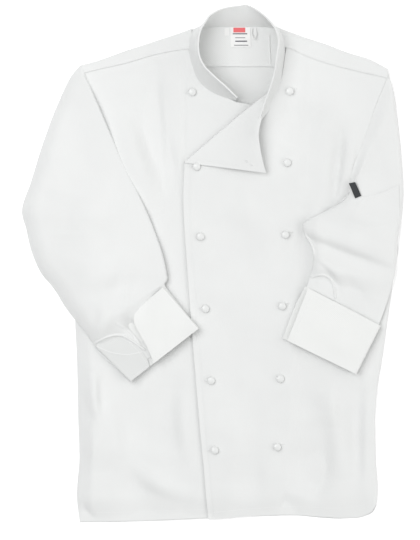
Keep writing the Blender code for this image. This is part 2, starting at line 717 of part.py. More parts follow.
def main():
    for old in list(bpy.data.objects):
        bpy.data.objects.remove(old)
    twill = material("white_twill", WHITE_TWILL, CLOTH_ROUGHNESS)
    tape = material("white_tape", WHITE_TAPE, CLOTH_ROUGHNESS)
    stud = material("gloss_white", GLOSS_WHITE, BUTTON_ROUGHNESS)
    charcoal = material("charcoal_tape", CHARCOAL, CLOTH_ROUGHNESS)
    make_back(twill)
    make_yoke(twill)
    make_fronts(twill)
    make_lapel(twill)
    make_collar(twill)
    sleeve("sleeve_right", SLEEVE_RIGHT, twill)
    sleeve("sleeve_left", SLEEVE_LEFT, twill)
    make_cuff("cuff_right", CUFF_RIGHT, CUFF_RIGHT_ENDS, True, twill)
    make_cuff("cuff_left", CUFF_LEFT, CUFF_LEFT_ENDS, False, twill)
    on_sleeve("sleeve_pocket", SLEEVE_LEFT, POCKET, CLOTH, twill)
    on_sleeve("vent_right", SLEEVE_RIGHT, VENT_RIGHT, CLOTH, twill, steps=(1, 4))
    on_sleeve("vent_left", SLEEVE_LEFT, VENT_LEFT, CLOTH, twill, steps=(1, 4))
    flat_piece("pocket_tag", POCKET_TAG, POCKET_TAG_HEIGHT, LABEL_CLOTH, charcoal)
    make_neck_trims(tape)
    make_buttons(stud)


main()
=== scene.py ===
"""Looks of a double-breasted chef jacket that lies flat on its back, sleeves folded forward.

Tables and shapes are in millimetres and become metres where a mesh is made. +X is the wearer's
left, +Y runs from the hem to the collar and +Z up from the surface that the jacket lies on.
"""
import math

import bmesh
import bpy
import numpy as np
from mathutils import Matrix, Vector
from mathutils.bvhtree import BVHTree


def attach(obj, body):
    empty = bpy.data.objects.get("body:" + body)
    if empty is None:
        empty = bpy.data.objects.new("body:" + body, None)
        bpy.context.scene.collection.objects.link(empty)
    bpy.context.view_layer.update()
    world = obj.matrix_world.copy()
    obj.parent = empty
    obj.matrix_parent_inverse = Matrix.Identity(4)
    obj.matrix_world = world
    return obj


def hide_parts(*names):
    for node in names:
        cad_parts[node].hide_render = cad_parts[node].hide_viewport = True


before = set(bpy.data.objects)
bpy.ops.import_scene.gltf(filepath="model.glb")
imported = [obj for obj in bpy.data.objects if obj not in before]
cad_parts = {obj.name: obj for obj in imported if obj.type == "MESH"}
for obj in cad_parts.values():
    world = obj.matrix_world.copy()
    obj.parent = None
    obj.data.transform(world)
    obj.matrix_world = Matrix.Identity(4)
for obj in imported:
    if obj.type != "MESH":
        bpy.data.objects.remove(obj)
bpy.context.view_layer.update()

MM = 0.001

# angles past which a mesh's edges stay sharp, and past which a cloth's faces are split
SMOOTH_ANGLE = 60.0
SPLIT_ANGLE = 50.0

# thickness of the cloth as it looks
TWILL = 1.1
BAND = 2.4
TAPE = 0.7

# heights of the stack of layers: the under panel's middle, a layer on it, and the fronts' loft
UNDER_LEVEL = 1.9
LAYER = 2.1
LAP = LAYER + 0.5
LOFT = 6.2

# how the loft falls off at the sides and the hem, and how much fuller it is beside one side
SIDE_ROLL = 2.5
RIGHT_ROLL = 7.0
SIDE_RAMP = 22.0
SIDE_SHARE = 0.12
SIDE_SWELL = 1.9
SWELL_REACH = 90.0
RIGHT_SHARE = 0.55
RIGHT_REACH = 60.0
HEM_START = -412.0
HEM_REACH = 42.0
HEM_SHARE = 0.04
FOLD_DEPTH = 3.4
FOLD_START = 26.0
DRAPE = 55.0
FRONT_MIDDLE = 40.0

# where the top panel steps down past the under panel's edge
STEP_START = 3.0
STEP_LENGTH = 20.0

# how a sleeve lies over the body: the level it keeps, how it falls beside the body, how the two
# panels blend under it, and how round the change from one to the other is
LEVEL_DROP = 0.65 * LOFT + 0.9
LEVEL_REACH = 80.0
DRAPE_INSIDE = 30.0
PANEL_BLEND = 24.0
BODY_REACH = 80.0
ROUNDING = 3.0

# the yoke behind the neck, which lies on the back, and the step at its lower edge
YOKE_MID = 1.5 * TWILL
YOKE_EDGE_RISE = 1.3

# the ring round the neck that the collar draws up
NECK_RISE = 3.6
NECK_CENTRE = np.array((39.0, 325.0))
NECK_RADII = np.array((76.0, 62.0))
NECK_SPREAD = 40.0 / 62.0
NECK_START = 200.0
NECK_EASE = 60.0

# soft humps and grooves, each given as: where, half width, height
SEAM_DIP = (-1.5, 2.6, 0.7)
PRESSED_BESIDE_EDGE = (-1.0, 3.0, 1.1)
EDGE_GROOVE = (6.0, 2.4, 1.0)
CORNER_SWELL = (0.0, 34.0, 7.0)
CORNER_TOP = (80.0, 260.0)

# outline of the body, from the hem up: y, x of the wearer's right side, x of the left side
SIDES = np.array([
    (-412.0, -213.0, 262.0),
    (-377.0, -217.0, 263.0),
    (-309.0, -213.0, 261.0),
    (-247.0, -215.0, 260.0),
    (-188.0, -216.0, 265.0),
    (-153.0, -217.0, 271.0),
    (-89.0, -220.0, 280.0),
    (-30.0, -222.0, 288.0),
    (47.0, -219.0, 292.0),
    (67.0, -208.0, 276.0),
    (95.0, -196.0, 246.0),
    (119.0, -189.0, 228.0),
    (146.0, -186.0, 222.0),
    (183.0, -185.0, 235.0),
    (214.0, -188.0, 247.0),
    (247.0, -193.0, 258.0),
    (284.0, -203.0, 274.0),
    (306.0, -209.0, 282.0),
])

# the edge that the cloth falls to: it stays up along the armholes, where the sleeve holds it
FALL = np.array([
    (-412.0, -213.0, 262.0),
    (-377.0, -217.0, 263.0),
    (-309.0, -214.0, 261.0),
    (-247.0, -216.0, 260.0),
    (-188.0, -217.0, 265.0),
    (-89.0, -221.0, 280.0),
    (10.0, -226.0, 292.0),
    (90.0, -262.0, 332.0),
    (320.0, -275.0, 345.0),
])

# front edges: y, x of the top panel's edge, x of the under panel's edge
FRONTS = np.array([
    (-412.0, -7.0, 113.0),
    (-366.0, -11.0, 114.0),
    (-329.0, -14.0, 115.0),
    (-268.0, -20.0, 117.0),
    (-185.0, -27.0, 119.0),
    (-29.0, -39.0, 125.0),
    (43.0, -44.0, 128.0),
    (100.0, -47.0, 131.0),
    (161.0, -45.0, 133.0),
    (236.0, -45.0, 135.0),
])

# hems, from the wearer's right: x, y
HEM_UNDER = [(-213, -412), (-142, -411), (-80, -409), (-39, -407), (30, -404), (113, -402)]
HEM_TOP = [(-7, -409), (40, -405), (121, -401), (174, -404), (213, -406), (240, -403), (254, -396),
           (262, -384)]
HEM_BACK = [(-213, -413.5), (-80, -411), (60, -404), (121, -402), (213, -407), (242, -404),
            (256, -397), (262.5, -385)]

# front yoke seams and neck seam, x, y
YOKE_RIGHT = [(-209, 304), (-187, 310), (-139, 321), (-90, 335), (-40, 343)]
YOKE_LEFT = [(118, 345), (137, 337), (158, 329), (179, 322), (210, 313), (235, 307), (280, 297)]
NECK_RIGHT = [(-40, 343), (-40, 330), (-34, 314), (-25, 293), (-10, 278), (14, 265), (38, 259)]
UNDER_TOP = [(38, 259), (80, 251), (135, 236)]
ROLL_LINE = [(-45, 161), (18, 213), (78, 261)]
NECK_LEFT = [(78, 261), (100, 262), (110, 276), (115, 300), (118, 322), (118, 345)]

# yoke across the shoulders: x, y of the back seam, y of the shoulder fold, y of the front seam
YOKE_STRAP_RIGHT = np.array([
    (-210, 270, 318, 304.6),
    (-187, 279, 324, 310.6),
    (-139, 296, 341, 321.6),
    (-90, 306, 357, 335.6),
    (-42, 313.8, 373, 343.6),
    (-34, 314.6, 376, 344.6),
])
YOKE_STRAP_LEFT = np.array([
    (104, 315.4, 378, 346.8),
    (120, 313.4, 372, 345.6),
    (145, 308, 363, 334.6),
    (182, 297, 351, 321.6),
    (219, 284, 337, 311.6),
    (249, 274, 328, 304.6),
    (280, 264, 312, 297.6),
])
STRAP_FULLNESS = 1.35
STRAP_LIFT = 0.7
# how far a front goes down under the strap's edge, and where
UNDER_STRAP = 1.3
UNDER_STRAP_START = -1.5
UNDER_STRAP_LENGTH = 3.0

# yoke behind the neck: x, y of the back seam, y of the neck seam
YOKE_NECK = np.array([
    (-42, 313.8, 373),
    (-30, 315, 377),
    (0, 316.4, 380),
    (47, 316.4, 381),
    (94, 316, 380),
    (108, 315, 377),
    (120, 313.4, 372),
])

# collar sections from the wearer's right end round to the left: seam x, y, z, top edge x, y, z
COLLAR = np.array([
    (37.0, 262.0, 13.0, 38.7, 264.5, 40.0),
    (14.0, 268.7, 13.0, 19.8, 282.4, 49.0),
    (-9.0, 280.6, 12.5, 1.9, 298.2, 50.0),
    (-23.0, 294.6, 12.0, -13.9, 315.0, 50.0),
    (-32.0, 315.6, 12.0, -21.8, 332.8, 51.0),
    (-38.0, 340.6, 12.0, -22.8, 353.6, 51.0),
    (-37.0, 362.6, 11.0, -18.9, 371.5, 50.0),
    (-29.0, 375.5, 8.5, -10.0, 388.0, 46.0),
    (-16.0, 379.6, 3.4, -4.0, 396.0, 38.0),
    (0.0, 380.5, 2.0, 14.0, 406.0, 31.0),
    (24.0, 381.0, 1.8, 42.8, 411.5, 26.0),
    (70.0, 380.5, 1.8, 58.7, 411.0, 27.0),
    (94.0, 379.6, 2.6, 75.5, 400.4, 34.0),
    (106.0, 376.0, 8.5, 91.2, 385.5, 44.0),
    (114.0, 363.0, 11.0, 101.0, 369.5, 50.0),
    (116.5, 341.0, 12.0, 104.0, 351.6, 51.0),
    (114.5, 320.0, 12.0, 101.0, 326.8, 51.0),
    (110.5, 291.0, 13.0, 98.1, 305.1, 47.0),
    (103.0, 270.0, 14.5, 91.1, 280.3, 43.0),
    (93.0, 252.0, 18.0, 82.8, 257.5, 38.0),
    (77.0, 230.0, 27.0, 73.2, 228.0, 31.0),
])
COLLAR_BULGE = 2.5
# how far a neck edge goes in under the collar, and how the collar's raised seam settles on it
COLLAR_OVERLAP = 4.0
COLLAR_SETTLE = 2.2
SETTLE_START = 4.0
SETTLE_LENGTH = 4.0

# the top panel's corner turned back: roll x, y, outer edge x, y, height of the outer edge
LAPEL = np.array([
    (88.0, 270.0, 76.4, 229.0, 31.0),
    (50.0, 241.0, 73.2, 205.0, 32.0),
    (26.0, 221.5, 75.6, 185.0, 30.0),
    (-10.0, 191.5, 79.6, 165.0, 27.0),
    (-44.5, 162.0, 85.0, 145.5, 22.0),
])
LAPEL_ROLL = 2.4
LAPEL_WALL = 1.6
CORNER_HOLE = (58.0, 161.0)

# sleeve rows from the shoulder to the cuff: inner x, y, outer x, y
SLEEVE_RIGHT = np.array([
    (-147.0, 170.0, -211.0, 318.0),
    (-138.0, 150.0, -226.0, 300.0),
    (-130.0, 134.0, -248.0, 255.0),
    (-122.0, 118.0, -270.0, 197.0),
    (-115.0, 104.0, -290.0, 133.0),
    (-109.0, 91.0, -305.0, 84.0),
    (-101.0, 73.0, -298.0, 56.0),
    (-94.0, 55.0, -290.0, 22.0),
    (-87.0, 36.0, -275.0, -13.0),
    (-80.0, 14.0, -253.0, -40.0),
    (-75.0, -8.0, -234.0, -70.0),
    (-73.0, -24.0, -213.0, -97.0),
    (-76.0, -36.0, -190.0, -128.0),
    (-70.0, -44.0, -184.0, -137.0),
    (-31.0, -94.0, -139.0, -178.0),
])
SLEEVE_LEFT = np.array([
    (223.0, 146.0, 284.0, 307.0),
    (222.0, 128.0, 289.0, 276.0),
    (213.0, 106.0, 296.0, 230.0),
    (197.0, 94.0, 301.0, 185.0),
    (175.0, 82.0, 304.0, 145.0),
    (154.0, 71.0, 305.0, 108.0),
    (144.0, 61.0, 302.0, 74.0),
    (148.0, 45.0, 297.0, 47.0),
    (156.0, 32.0, 295.0, 26.0),
    (161.0, 14.0, 294.0, 6.0),
    (160.0, -2.0, 290.0, -20.0),
    (157.0, -16.0, 282.0, -48.0),
    (153.0, -29.0, 272.0, -78.0),
    (148.0, -44.0, 262.0, -104.0),
])

# cuffs: left end x, y and right end x, y of the edge by the sleeve, then of the far edge
CUFF_RIGHT = [(-187.5, -130.8, -79.5, -36.8), (-131.0, -187.0, -23.0, -103.0)]
CUFF_LEFT = [(152.0, -38.0, 267.0, -98.0), (119.0, -122.0, 228.0, -175.0)]
# across each open cuff: depth share, where the lower end stops, where the upper end stops
CUFF_RIGHT_ENDS = np.array([
    (0.0, 18.0, 90.0),
    (0.03, 25.0, 82.0),
    (0.08, 33.0, 75.0),
    (0.14, 39.0, 71.0),
    (0.25, 45.0, 67.5),
    (0.4, 48.5, 64.0),
    (0.65, 48.5, 58.5),
    (0.9, 43.0, 51.0),
    (1.0, 38.0, 47.5),
])
CUFF_LEFT_ENDS = np.array([
    (0.0, -5.0, 0.0),
    (0.3, -8.0, 0.0),
    (0.65, -9.0, 0.0),
    (1.0, -8.0, 0.0),
])

# soft troughs and ridges of the body: start, middle and end x, y, half width, height
BODY_FOLDS = [
    (-92, 312, -88, 215, -80, 100, 12, -3.6),
    (-84, 290, -79, 200, -73, 110, 7, 1.6),
    (-160, 262, -126, 160, -84, 77, 22, 3.4),
    (-190, 300, -150, 250, -120, 190, 26, -1.6),
    (-73, 205, -62, 150, -56, 106, 8, -1.2),
    (5, 75, 40, 36, 80, 0, 30, -1.3),
    (30, 110, 64, 66, 100, 40, 24, 1.4),
    (-5, 20, 30, -30, 70, -60, 30, 1.2),
    (136, 105, 143, 30, 148, -45, 14, -2.8),
    (163, 90, 170, 20, 165, -60, 16, 1.8),
    (226, 206, 220, 168, 211, 122, 8, 1.5),
    (207, 208, 202, 160, 194, 104, 5.5, -3.0),
    (167, 252, 146, 218, 127, 183, 20, -1.8),
    (150, 300, 190, 250, 220, 220, 24, 1.4),
    (-67, -190, -74, -250, -62, -308, 14, -2.2),
    (-48, -200, -52, -260, -42, -320, 14, 1.4),
    (-142, -325, -122, -378, -28, -390, 14, -1.9),
    (-108, -335, -90, -362, -40, -368, 14, 1.6),
    (-172, -220, -164, -275, -158, -330, 20, 2.2),
    (-188, -172, -192, -212, -184, -246, 7, 2.4),
    (-208, -205, -202, -236, -190, -256, 8, -1.2),
    (-214, -376, -205, -396, -192, -414, 6, -2.6),
    (-182, -260, -192, -300, -206, -330, 9, 1.2),
    (169, -245, 184, -322, 156, -378, 18, -2.6),
    (186, -196, 190, -226, 192, -262, 10, 1.7),
    (204, -215, 206, -280, 208, -345, 18, 1.6),
    (233, -196, 226, -262, 229, -334, 12, -2.0),
    (252, -180, 249, -270, 251, -372, 5, 1.5),
    (116, -398, 114, -384, 118, -366, 7, -1.4),
    (60, -300, 66, -340, 62, -384, 20, -1.2),
    (20, -230, 28, -290, 24, -350, 26, 1.2),
    (90, -120, 82, -180, 92, -250, 28, -1.0),
    (-120, -200, -116, -250, -124, -300, 20, -1.2),
]
# and those of the sleeves
SLEEVE_FOLDS = [
    (112, 54, 195, 20, 288, -12, 9, -6.5),
    (158, 56, 214, 34, 272, 20, 11, 3.2),
    (168, 20, 215, -8, 268, -24, 16, 1.4),
    (146, 64, 180, 72, 222, 64, 14, -1.8),
    (175, 82, 220, 78, 270, 66, 20, 1.4),
    (166, 2, 184, -12, 199, -34, 5, -3.6),
    (182, 2, 200, -14, 212, -38, 9, 1.6),
    (200, -20, 226, -44, 250, -70, 13, -1.8),
    (232, 120, 262, 118, 296, 128, 8, 1.0),
    (-130, 96, -190, 78, -270, 84, 24, 2.2),
    (-116, 40, -170, 20, -250, 34, 22, -2.6),
    (-100, 8, -150, -20, -235, -28, 18, 2.8),
    (-92, -2, -96, -20, -104, -40, 9, 2.6),
    (-112, 8, -124, -28, -130, -52, 11, -3.0),
    (-150, 0, -152, -40, -147, -80, 10, -3.2),
    (-134, -20, -140, -50, -140, -74, 7, 2.4),
    (-139, -84, -128, -100, -112, -122, 4.5, -4.0),
    (-152, -94, -138, -106, -120, -130, 5.5, 3.0),
    (-166, -60, -172, -88, -176, -112, 9, 2.0),
    (-184, -60, -190, -90, -192, -116, 8, -2.4),
    (-176, 230, -200, 170, -214, 110, 30, -2.0),
    (-234, 260, -250, 200, -272, 140, 24, 1.8),
    (262, 300, 270, 230, 262, 170, 18, 1.6),
    (246, 210, 262, 170, 270, 140, 12, -1.6),
]
# how wide a fold's slopes are, how far out it is worked out, and how much deeper the sleeves' are
FOLD_WIDTH = 1.2
FOLD_REACH = 4.5
SLEEVE_FOLD_GAIN = 1.3

# slight unevenness of laid cloth: waves of random heading, length and phase
RIPPLES = 14
RIPPLE_SEED = 7
RIPPLE_LENGTHS = (38, 130)
RIPPLE_SIZE = 0.8
RELAX_STEPS = 260

# sleeves: points across half the tube, how far in its puff grows, and where it narrows to the cuff
TUBE_STEPS = 70
PUFF_REACH = 110.0
TAPER = 0.85
TAPER_START = 0.8
TAPER_LENGTH = 0.09
TUCK_ROWS = 22.0
TUCK_DEPTH = 4.5

# stud buttons from the collar down: y, x in the right column, x in the left, and how far the
# left column's stud stands above its neighbour
BUTTONS = [
    (275, -33, 123, 1),
    (156, -26, 119, 6),
    (44, -20, 116, 3),
    (-71, -12, 111, 4),
    (-186, -3, 108, 3),
    (-297, 3, 103, 5),
]
BUTTON_RADIUS = 6.4
BUTTON_HEIGHT = 4.4

# the cuffs: radius of their folded edges, points along each stretch of a row, their swell, how
# their ends lift, and their least height: x where it starts, its length and the height
CUFF_ROLL = 2.6
CUFF_ROWS = 46
CUFF_TOP = 44
CUFF_RUN = 34
CUFF_TAIL = 26
CUFF_SWELL = 2.0
CUFF_END_RISE = 1.3
CUFF_LIFT = 1.5
CUFF_BASE = (-240.0, 60.0, 9.0)
END_REACH = 30.0
END_SPAN = 40.0
TAIL_REACH = 44.0
TAIL_DROP = 1.8
TAIL_SLOPE = 0.6

# bound rims of the open cuff's lower end, and of the sleeves' vents
CUFF_RIM_NEAR = [(-187, -125), (-166, -115), (-147, -113), (-128, -123), (-108, -137)]
CUFF_RIM_FAR = [(-185, -131), (-164, -140), (-136, -144), (-113, -140)]
VENT_LEFT = [(158, -21), (166, -18), (176, -17), (188, -24), (194, -38), (195.6, -54)]
VENT_RIGHT = [(-154, -94), (-141, -101), (-128, -113), (-116, -130)]

# pen pocket's edges and the tag at its corner, x, y
POCKET_TOP = [(230, 106), (262, 112), (297.5, 127)]
POCKET_BOTTOM = [(206, 66), (250, 52), (299, 62)]
TAG = [(227, 105), (237, 109), (227, 131), (217, 129)]
TAG_MIDDLES = [(227, 118), (222, 117), (232, 120)]

# label, its band and bars, the size tab, the loop and the welt behind the neck
LABEL = [(29, 347), (61, 348), (60, 379), (28, 379)]
LABEL_BAND = [(33, 371), (52, 371), (52, 378.5), (33, 378.5)]
LABEL_BARS = [(368, 32, 55, 1.5), (362, 36, 52, 0.8), (356, 36, 55, 1.8), (350, 34, 57, 0.9)]
SIZE_TAB = [(19, 366), (26.5, 366), (26.5, 378), (19, 378)]
HANGER = [(63.5, 378, 0.0), (62.5, 368, 2.5), (66, 360, 4.0), (69.5, 368, 2.5), (68.5, 378, 0.0)]
WELT = [(92.5, 319), (91.5, 340), (90, 366)]

# topstitching
STITCH = 2.5
STITCH_GAP = 0.9
THREAD = 0.3
SEAM_INSET = 2.5
EDGE_INSET = 6.0


def ease(value):
    """A soft step from 0 to 1 as the value goes from 0 to 1."""
    value = np.clip(value, 0.0, 1.0)
    return value * value * (3.0 - 2.0 * value)


def fade(value, start, length):
    """A soft step from 0 to 1 over a length from the start."""
    return ease((value - start) / length)


def up_from(share, value):
    """A value from 0 to 1, moved into the range from the share to 1."""
    return share + (1.0 - share) * value


def hump(value, where, half_width, height):
    """A soft hump of the height at one value."""
    return height * np.exp(-(((value - where) / half_width) ** 2))


def round_edge(value):
    """A quarter circle's rise from 0 to 1 as the value goes from 0 to 1."""
    value = np.clip(value, 0.0, 1.0)
    return np.sqrt(1.0 - (1.0 - value) ** 2)


def curve(points, count):
    """A smooth line through the points, read at count even steps of its chord."""
    points = np.asarray(points, float)
    chord = np.linalg.norm(np.diff(points, axis=0), axis=1)
    at = np.concatenate([[0.0], np.cumsum(chord)])
    slope = np.gradient(points, at, axis=0)
    where = np.linspace(0.0, at[-1], count)
    low = np.clip(np.searchsorted(at, where, side="right") - 1, 0, len(at) - 2)
    span = (at[low + 1] - at[low])[:, None]
    t = (where - at[low])[:, None] / span
    start, end = points[low], points[low + 1]
    lean, land = slope[low] * span, slope[low + 1] * span
    hermite = (2 * t**3 - 3 * t**2 + 1) * start + (t**3 - 2 * t**2 + t) * lean
    return hermite + (3 * t**2 - 2 * t**3) * end + (t**3 - t**2) * land


def corner_line(*runs):
    """Smooth runs joined at corners, one after the other: points and how many steps each has."""
    joined = [curve(points, steps + 1) for points, steps in runs]
    return np.concatenate([joined[0]] + [run[1:] for run in joined[1:]])


def patch(bottom, top, left, right):
    """A grid of points over four edges that share their corners."""
    u = np.linspace(0.0, 1.0, len(bottom))[:, None, None]
    v = np.linspace(0.0, 1.0, len(left))[None, :, None]
    across = (1 - v) * bottom[:, None] + v * top[:, None]
    along = (1 - u) * left[None] + u * right[None]
    corners = (1 - u) * ((1 - v) * bottom[0] + v * top[0]) + u * ((1 - v) * bottom[-1] + v * top[-1])
    return across + along - corners


def fold_height(x, y, folds):
    """Height that soft troughs and ridges add, steeper on the left of the way each one runs."""
    total = np.zeros(np.shape(x))
    for x0, y0, x1, y1, x2, y2, half_width, height in folds:
        half_width = FOLD_WIDTH * half_width
        t = np.linspace(0.0, 1.0, 17)
        line_x = (1 - t) ** 2 * x0 + 2 * t * (1 - t) * x1 + t**2 * x2
        line_y = (1 - t) ** 2 * y0 + 2 * t * (1 - t) * y1 + t**2 * y2
        reach = FOLD_REACH * half_width
        near = (x > line_x.min() - reach) & (x < line_x.max() + reach)
        near &= (y > line_y.min() - reach) & (y < line_y.max() + reach)
        if not near.any():
            continue
        px, py = x[near], y[near]
        away = np.full(px.shape, 1e9)
        along, side = np.zeros(px.shape), np.zeros(px.shape)
        for i in range(len(t) - 1):
            dx, dy = line_x[i + 1] - line_x[i], line_y[i + 1] - line_y[i]
            s = np.clip(((px - line_x[i]) * dx + (py - line_y[i]) * dy) / (dx * dx + dy * dy), 0, 1)
            off_x, off_y = px - line_x[i] - s * dx, py - line_y[i] - s * dy
            far = np.hypot(off_x, off_y)
            closer = far < away
            away[closer] = far[closer]
            along[closer] = (i + s[closer]) / (len(t) - 1)
            side[closer] = (dx * off_y - dy * off_x)[closer] / math.hypot(dx, dy)
        width = half_width * (1.35 - 0.55 * np.tanh(side / (0.6 * half_width)))
        total[near] += height * np.exp(-((away / width) ** 2)) * np.sin(math.pi * (0.08 + 0.84 * along))
    return total


def ripple(x, y, size=RIPPLE_SIZE):
    """Slight unevenness of cloth that has been pressed and laid down."""
    draw = np.random.RandomState(RIPPLE_SEED)
    total = np.zeros(np.shape(x))
    for _ in range(RIPPLES):
        heading, length = draw.uniform(0, math.pi), draw.uniform(*RIPPLE_LENGTHS)
        phase = draw.uniform(0, 6.3)
        run = x * math.cos(heading) + y * math.sin(heading)
        bend = 0.35 * length * np.sin((x * math.sin(heading) - y * math.cos(heading)) / (1.7 * length))
        total = total + np.sin(2 * math.pi * (run + bend) / length + phase) * (length / 90.0)
    return size * total / math.sqrt(RIPPLES)


def relax(grid):
    """A grid of plan points with its inside evened out, so that no cell folds over."""
    for _ in range(RELAX_STEPS):
        inside = grid[:-2, 1:-1] + grid[2:, 1:-1] + grid[1:-1, :-2] + grid[1:-1, 2:]
        grid[1:-1, 1:-1] = inside / 4
    return grid


def between(table, y, column):
    return np.interp(y, table[:, 0], table[:, column])


def rise_of_front(x, y):
    """How far the cloth of the front stands off the back at each point."""
    from_left, from_right = x - between(FALL, y, 1), between(FALL, y, 2) - x
    ramp = up_from(SIDE_SHARE, np.clip(from_left / SIDE_RAMP, 0.0, 1.0) ** 0.8)
    fuller = SIDE_SWELL - (SIDE_SWELL - 1.0) * fade(from_left, SIDE_RAMP, SWELL_REACH)
    loft = LOFT * ramp * fuller * round_edge(from_left / SIDE_ROLL) * round_edge(from_right / RIGHT_ROLL)
    loft = loft * up_from(HEM_SHARE, fade(y, HEM_START, HEM_REACH))
    loft = loft * up_from(RIGHT_SHARE, ease(from_right / RIGHT_REACH))
    ring = np.hypot((x - NECK_CENTRE[0]) / NECK_RADII[0], (y - NECK_CENTRE[1]) / NECK_RADII[1])
    loft = loft + hump(ring, 1.0, NECK_SPREAD, NECK_RISE) * fade(y, NECK_START, NECK_EASE)
    edge = ease(np.minimum(from_left, from_right) / FOLD_START)
    return np.maximum(loft + (FOLD_DEPTH * fold_height(x, y, BODY_FOLDS) + ripple(x, y)) * edge, 0.0)


def seam_dip(x, y):
    """How far the topstitched seams under the shoulders draw the cloth down."""
    right, left = (np.interp(x, *np.transpose(seam)) for seam in (YOKE_RIGHT, YOKE_LEFT))
    return hump(y - np.where(x < FRONT_MIDDLE, right, left), *SEAM_DIP)


def under_mid(x, y):
    """Middle height of the under panel, pressed down along the top panel's edge."""
    x, y = np.asarray(x, float), np.asarray(y, float)
    pressed = hump(x - between(FRONTS, y, 1), *PRESSED_BESIDE_EDGE)
    return UNDER_LEVEL + rise_of_front(x, y) - seam_dip(x, y) - pressed


def top_mid(x, y):
    """Middle height of the top panel, which steps down past the under panel's edge."""
    x, y = np.asarray(x, float), np.asarray(y, float)
    past = fade(x - between(FRONTS, y, 2), STEP_START, STEP_LENGTH)
    lift = (LAP - hump(x - between(FRONTS, y, 1), *EDGE_GROOVE)) * (1.0 - past)
    swell = hump(np.hypot(x - CORNER_TOP[0], y - CORNER_TOP[1]), *CORNER_SWELL)
    return UNDER_LEVEL + rise_of_front(x, y) - seam_dip(x, y) + lift + swell


def stack_top(x, y):
    """Top of the body where a sleeve lies on it, easing down to the floor beside it."""
    inside = np.minimum(x - between(SIDES, y, 1), between(SIDES, y, 2) - x)
    on_top = fade(x - between(FRONTS, y, 1), -PANEL_BLEND / 2, PANEL_BLEND)
    level = SIDE_SWELL * LOFT + UNDER_LEVEL - LEVEL_DROP * fade(x, FRONT_MIDDLE, LEVEL_REACH)
    drape = (level + LAYER * on_top) * fade(inside, -DRAPE, DRAPE + DRAPE_INSIDE)
    body = (under_mid(x, y) * (1 - on_top) + top_mid(x, y) * on_top) * ease(inside / BODY_REACH)
    return (drape + body + np.sqrt((drape - body) ** 2 + ROUNDING)) / 2 + TWILL / 2


def away_from(x, y, line):
    """Distance in plan of each point from a line of points."""
    best = np.full(np.shape(x), 1e9)
    for (x0, y0), (x1, y1) in zip(line[:-1], line[1:]):
        dx, dy = x1 - x0, y1 - y0
        s = np.clip(((x - x0) * dx + (y - y0) * dy) / (dx * dx + dy * dy + 1e-9), 0, 1)
        best = np.minimum(best, np.hypot(x - x0 - s * dx, y - y0 - s * dy))
    return best


class Value:
    """A shader socket that adds Math nodes when it is used in arithmetic."""

    def __init__(self, tree, socket):
        self.tree, self.socket = tree, socket

    def math(self, operation, other, swap=False):
        node = self.tree.tree.nodes.new("ShaderNodeMath")
        node.operation = operation
        first, second = (other, self) if swap else (self, other)
        for index, term in enumerate((first, second)):
            self.tree.feed(node.inputs[index], term)
        return Value(self.tree, node.outputs[0])

    def __add__(self, other):
        return self.math("ADD", other)

    def __radd__(self, other):
        return self.math("ADD", other, True)

    def __mul__(self, other):
        return self.math("MULTIPLY", other)

    def __rmul__(self, other):
        return self.math("MULTIPLY", other, True)


class Finish:
    """A material's node tree, with one method for every node that isn't arithmetic."""

    def __init__(self, name, colour, roughness, **sockets):
        self.material = bpy.data.materials.new(name)
        self.material.use_nodes = True
        self.tree = self.material.node_tree
        self.shader = self.tree.nodes["Principled BSDF"]
        self.shader.inputs["Base Color"].default_value = (*colour, 1.0)
        self.shader.inputs["Roughness"].default_value = roughness
        for socket, value in sockets.items():
            self.shader.inputs[socket.replace("_", " ")].default_value = value

    def feed(self, socket, term):
        if isinstance(term, Value):
            self.tree.links.new(term.socket, socket)
        else:
            socket.default_value = term

    def node(self, kind, settings=None, output=0, **inputs):
        node = self.tree.nodes.new("ShaderNode" + kind)
        for name, value in (settings or {}).items():
            setattr(node, name, value)
        for name, term in inputs.items():
            self.feed(node.inputs[int(name[1:]) if name[0] == "i" else name], term)
        return Value(self, node.outputs[output])

    def place(self):
        return self.node("TexCoord", output="Object")

    def mix(self, factor, one, other):
        return self.node("Mix", {"data_type": "RGBA"}, output=2, i0=factor, i6=one, i7=other)

    def shade(self, colour=None, height=None, depth=0.0002, roughness=None):
        if colour is not None:
            self.feed(self.shader.inputs["Base Color"], colour)
        if roughness is not None:
            self.feed(self.shader.inputs["Roughness"], roughness)
        if height is not None:
            normal = self.node("Bump", Strength=1.0, Distance=depth, Height=height)
            self.feed(self.shader.inputs["Normal"], normal)
        return self.material


def twill(name, colour, slant=0.75, pitch=0.0011):
    """Bleached twill: fine slanting ribs, slubs and a faint mottle."""
    finish = Finish(name, colour, 0.88, Sheen_Weight=0.12, Sheen_Roughness=0.5, Specular_IOR_Level=0.18)
    place = finish.place()
    turned = finish.node("Mapping", Vector=place, Rotation=(0.0, 0.0, slant))
    ribs = finish.node("TexWave", {"bands_direction": "X"}, output="Fac", Vector=turned,
                       Scale=0.314 / pitch / 2, Distortion=0.6, Detail=1.0)
    slub = finish.node("TexNoise", output="Fac", Vector=place, Scale=900.0, Detail=2.0)
    mottle = finish.node("TexNoise", output="Fac", Vector=place, Scale=16.0, Detail=2.0)
    paler = tuple(min(1.0, c * 1.02) for c in colour)
    darker = tuple(c * 0.975 for c in colour)
    tone = finish.mix(mottle, (*darker, 1.0), (*paler, 1.0))
    return finish.shade(colour=tone, height=ribs * 0.6 + slub * 0.5, depth=0.00012,
                        roughness=0.82 + slub * 0.12)


def plain_finish(name, colour, roughness, **sockets):
    finish = Finish(name, colour, roughness, **sockets)
    grain = finish.node("TexNoise", output="Fac", Vector=finish.place(), Scale=700.0, Detail=1.0)
    return finish.shade(height=grain, depth=0.00003)


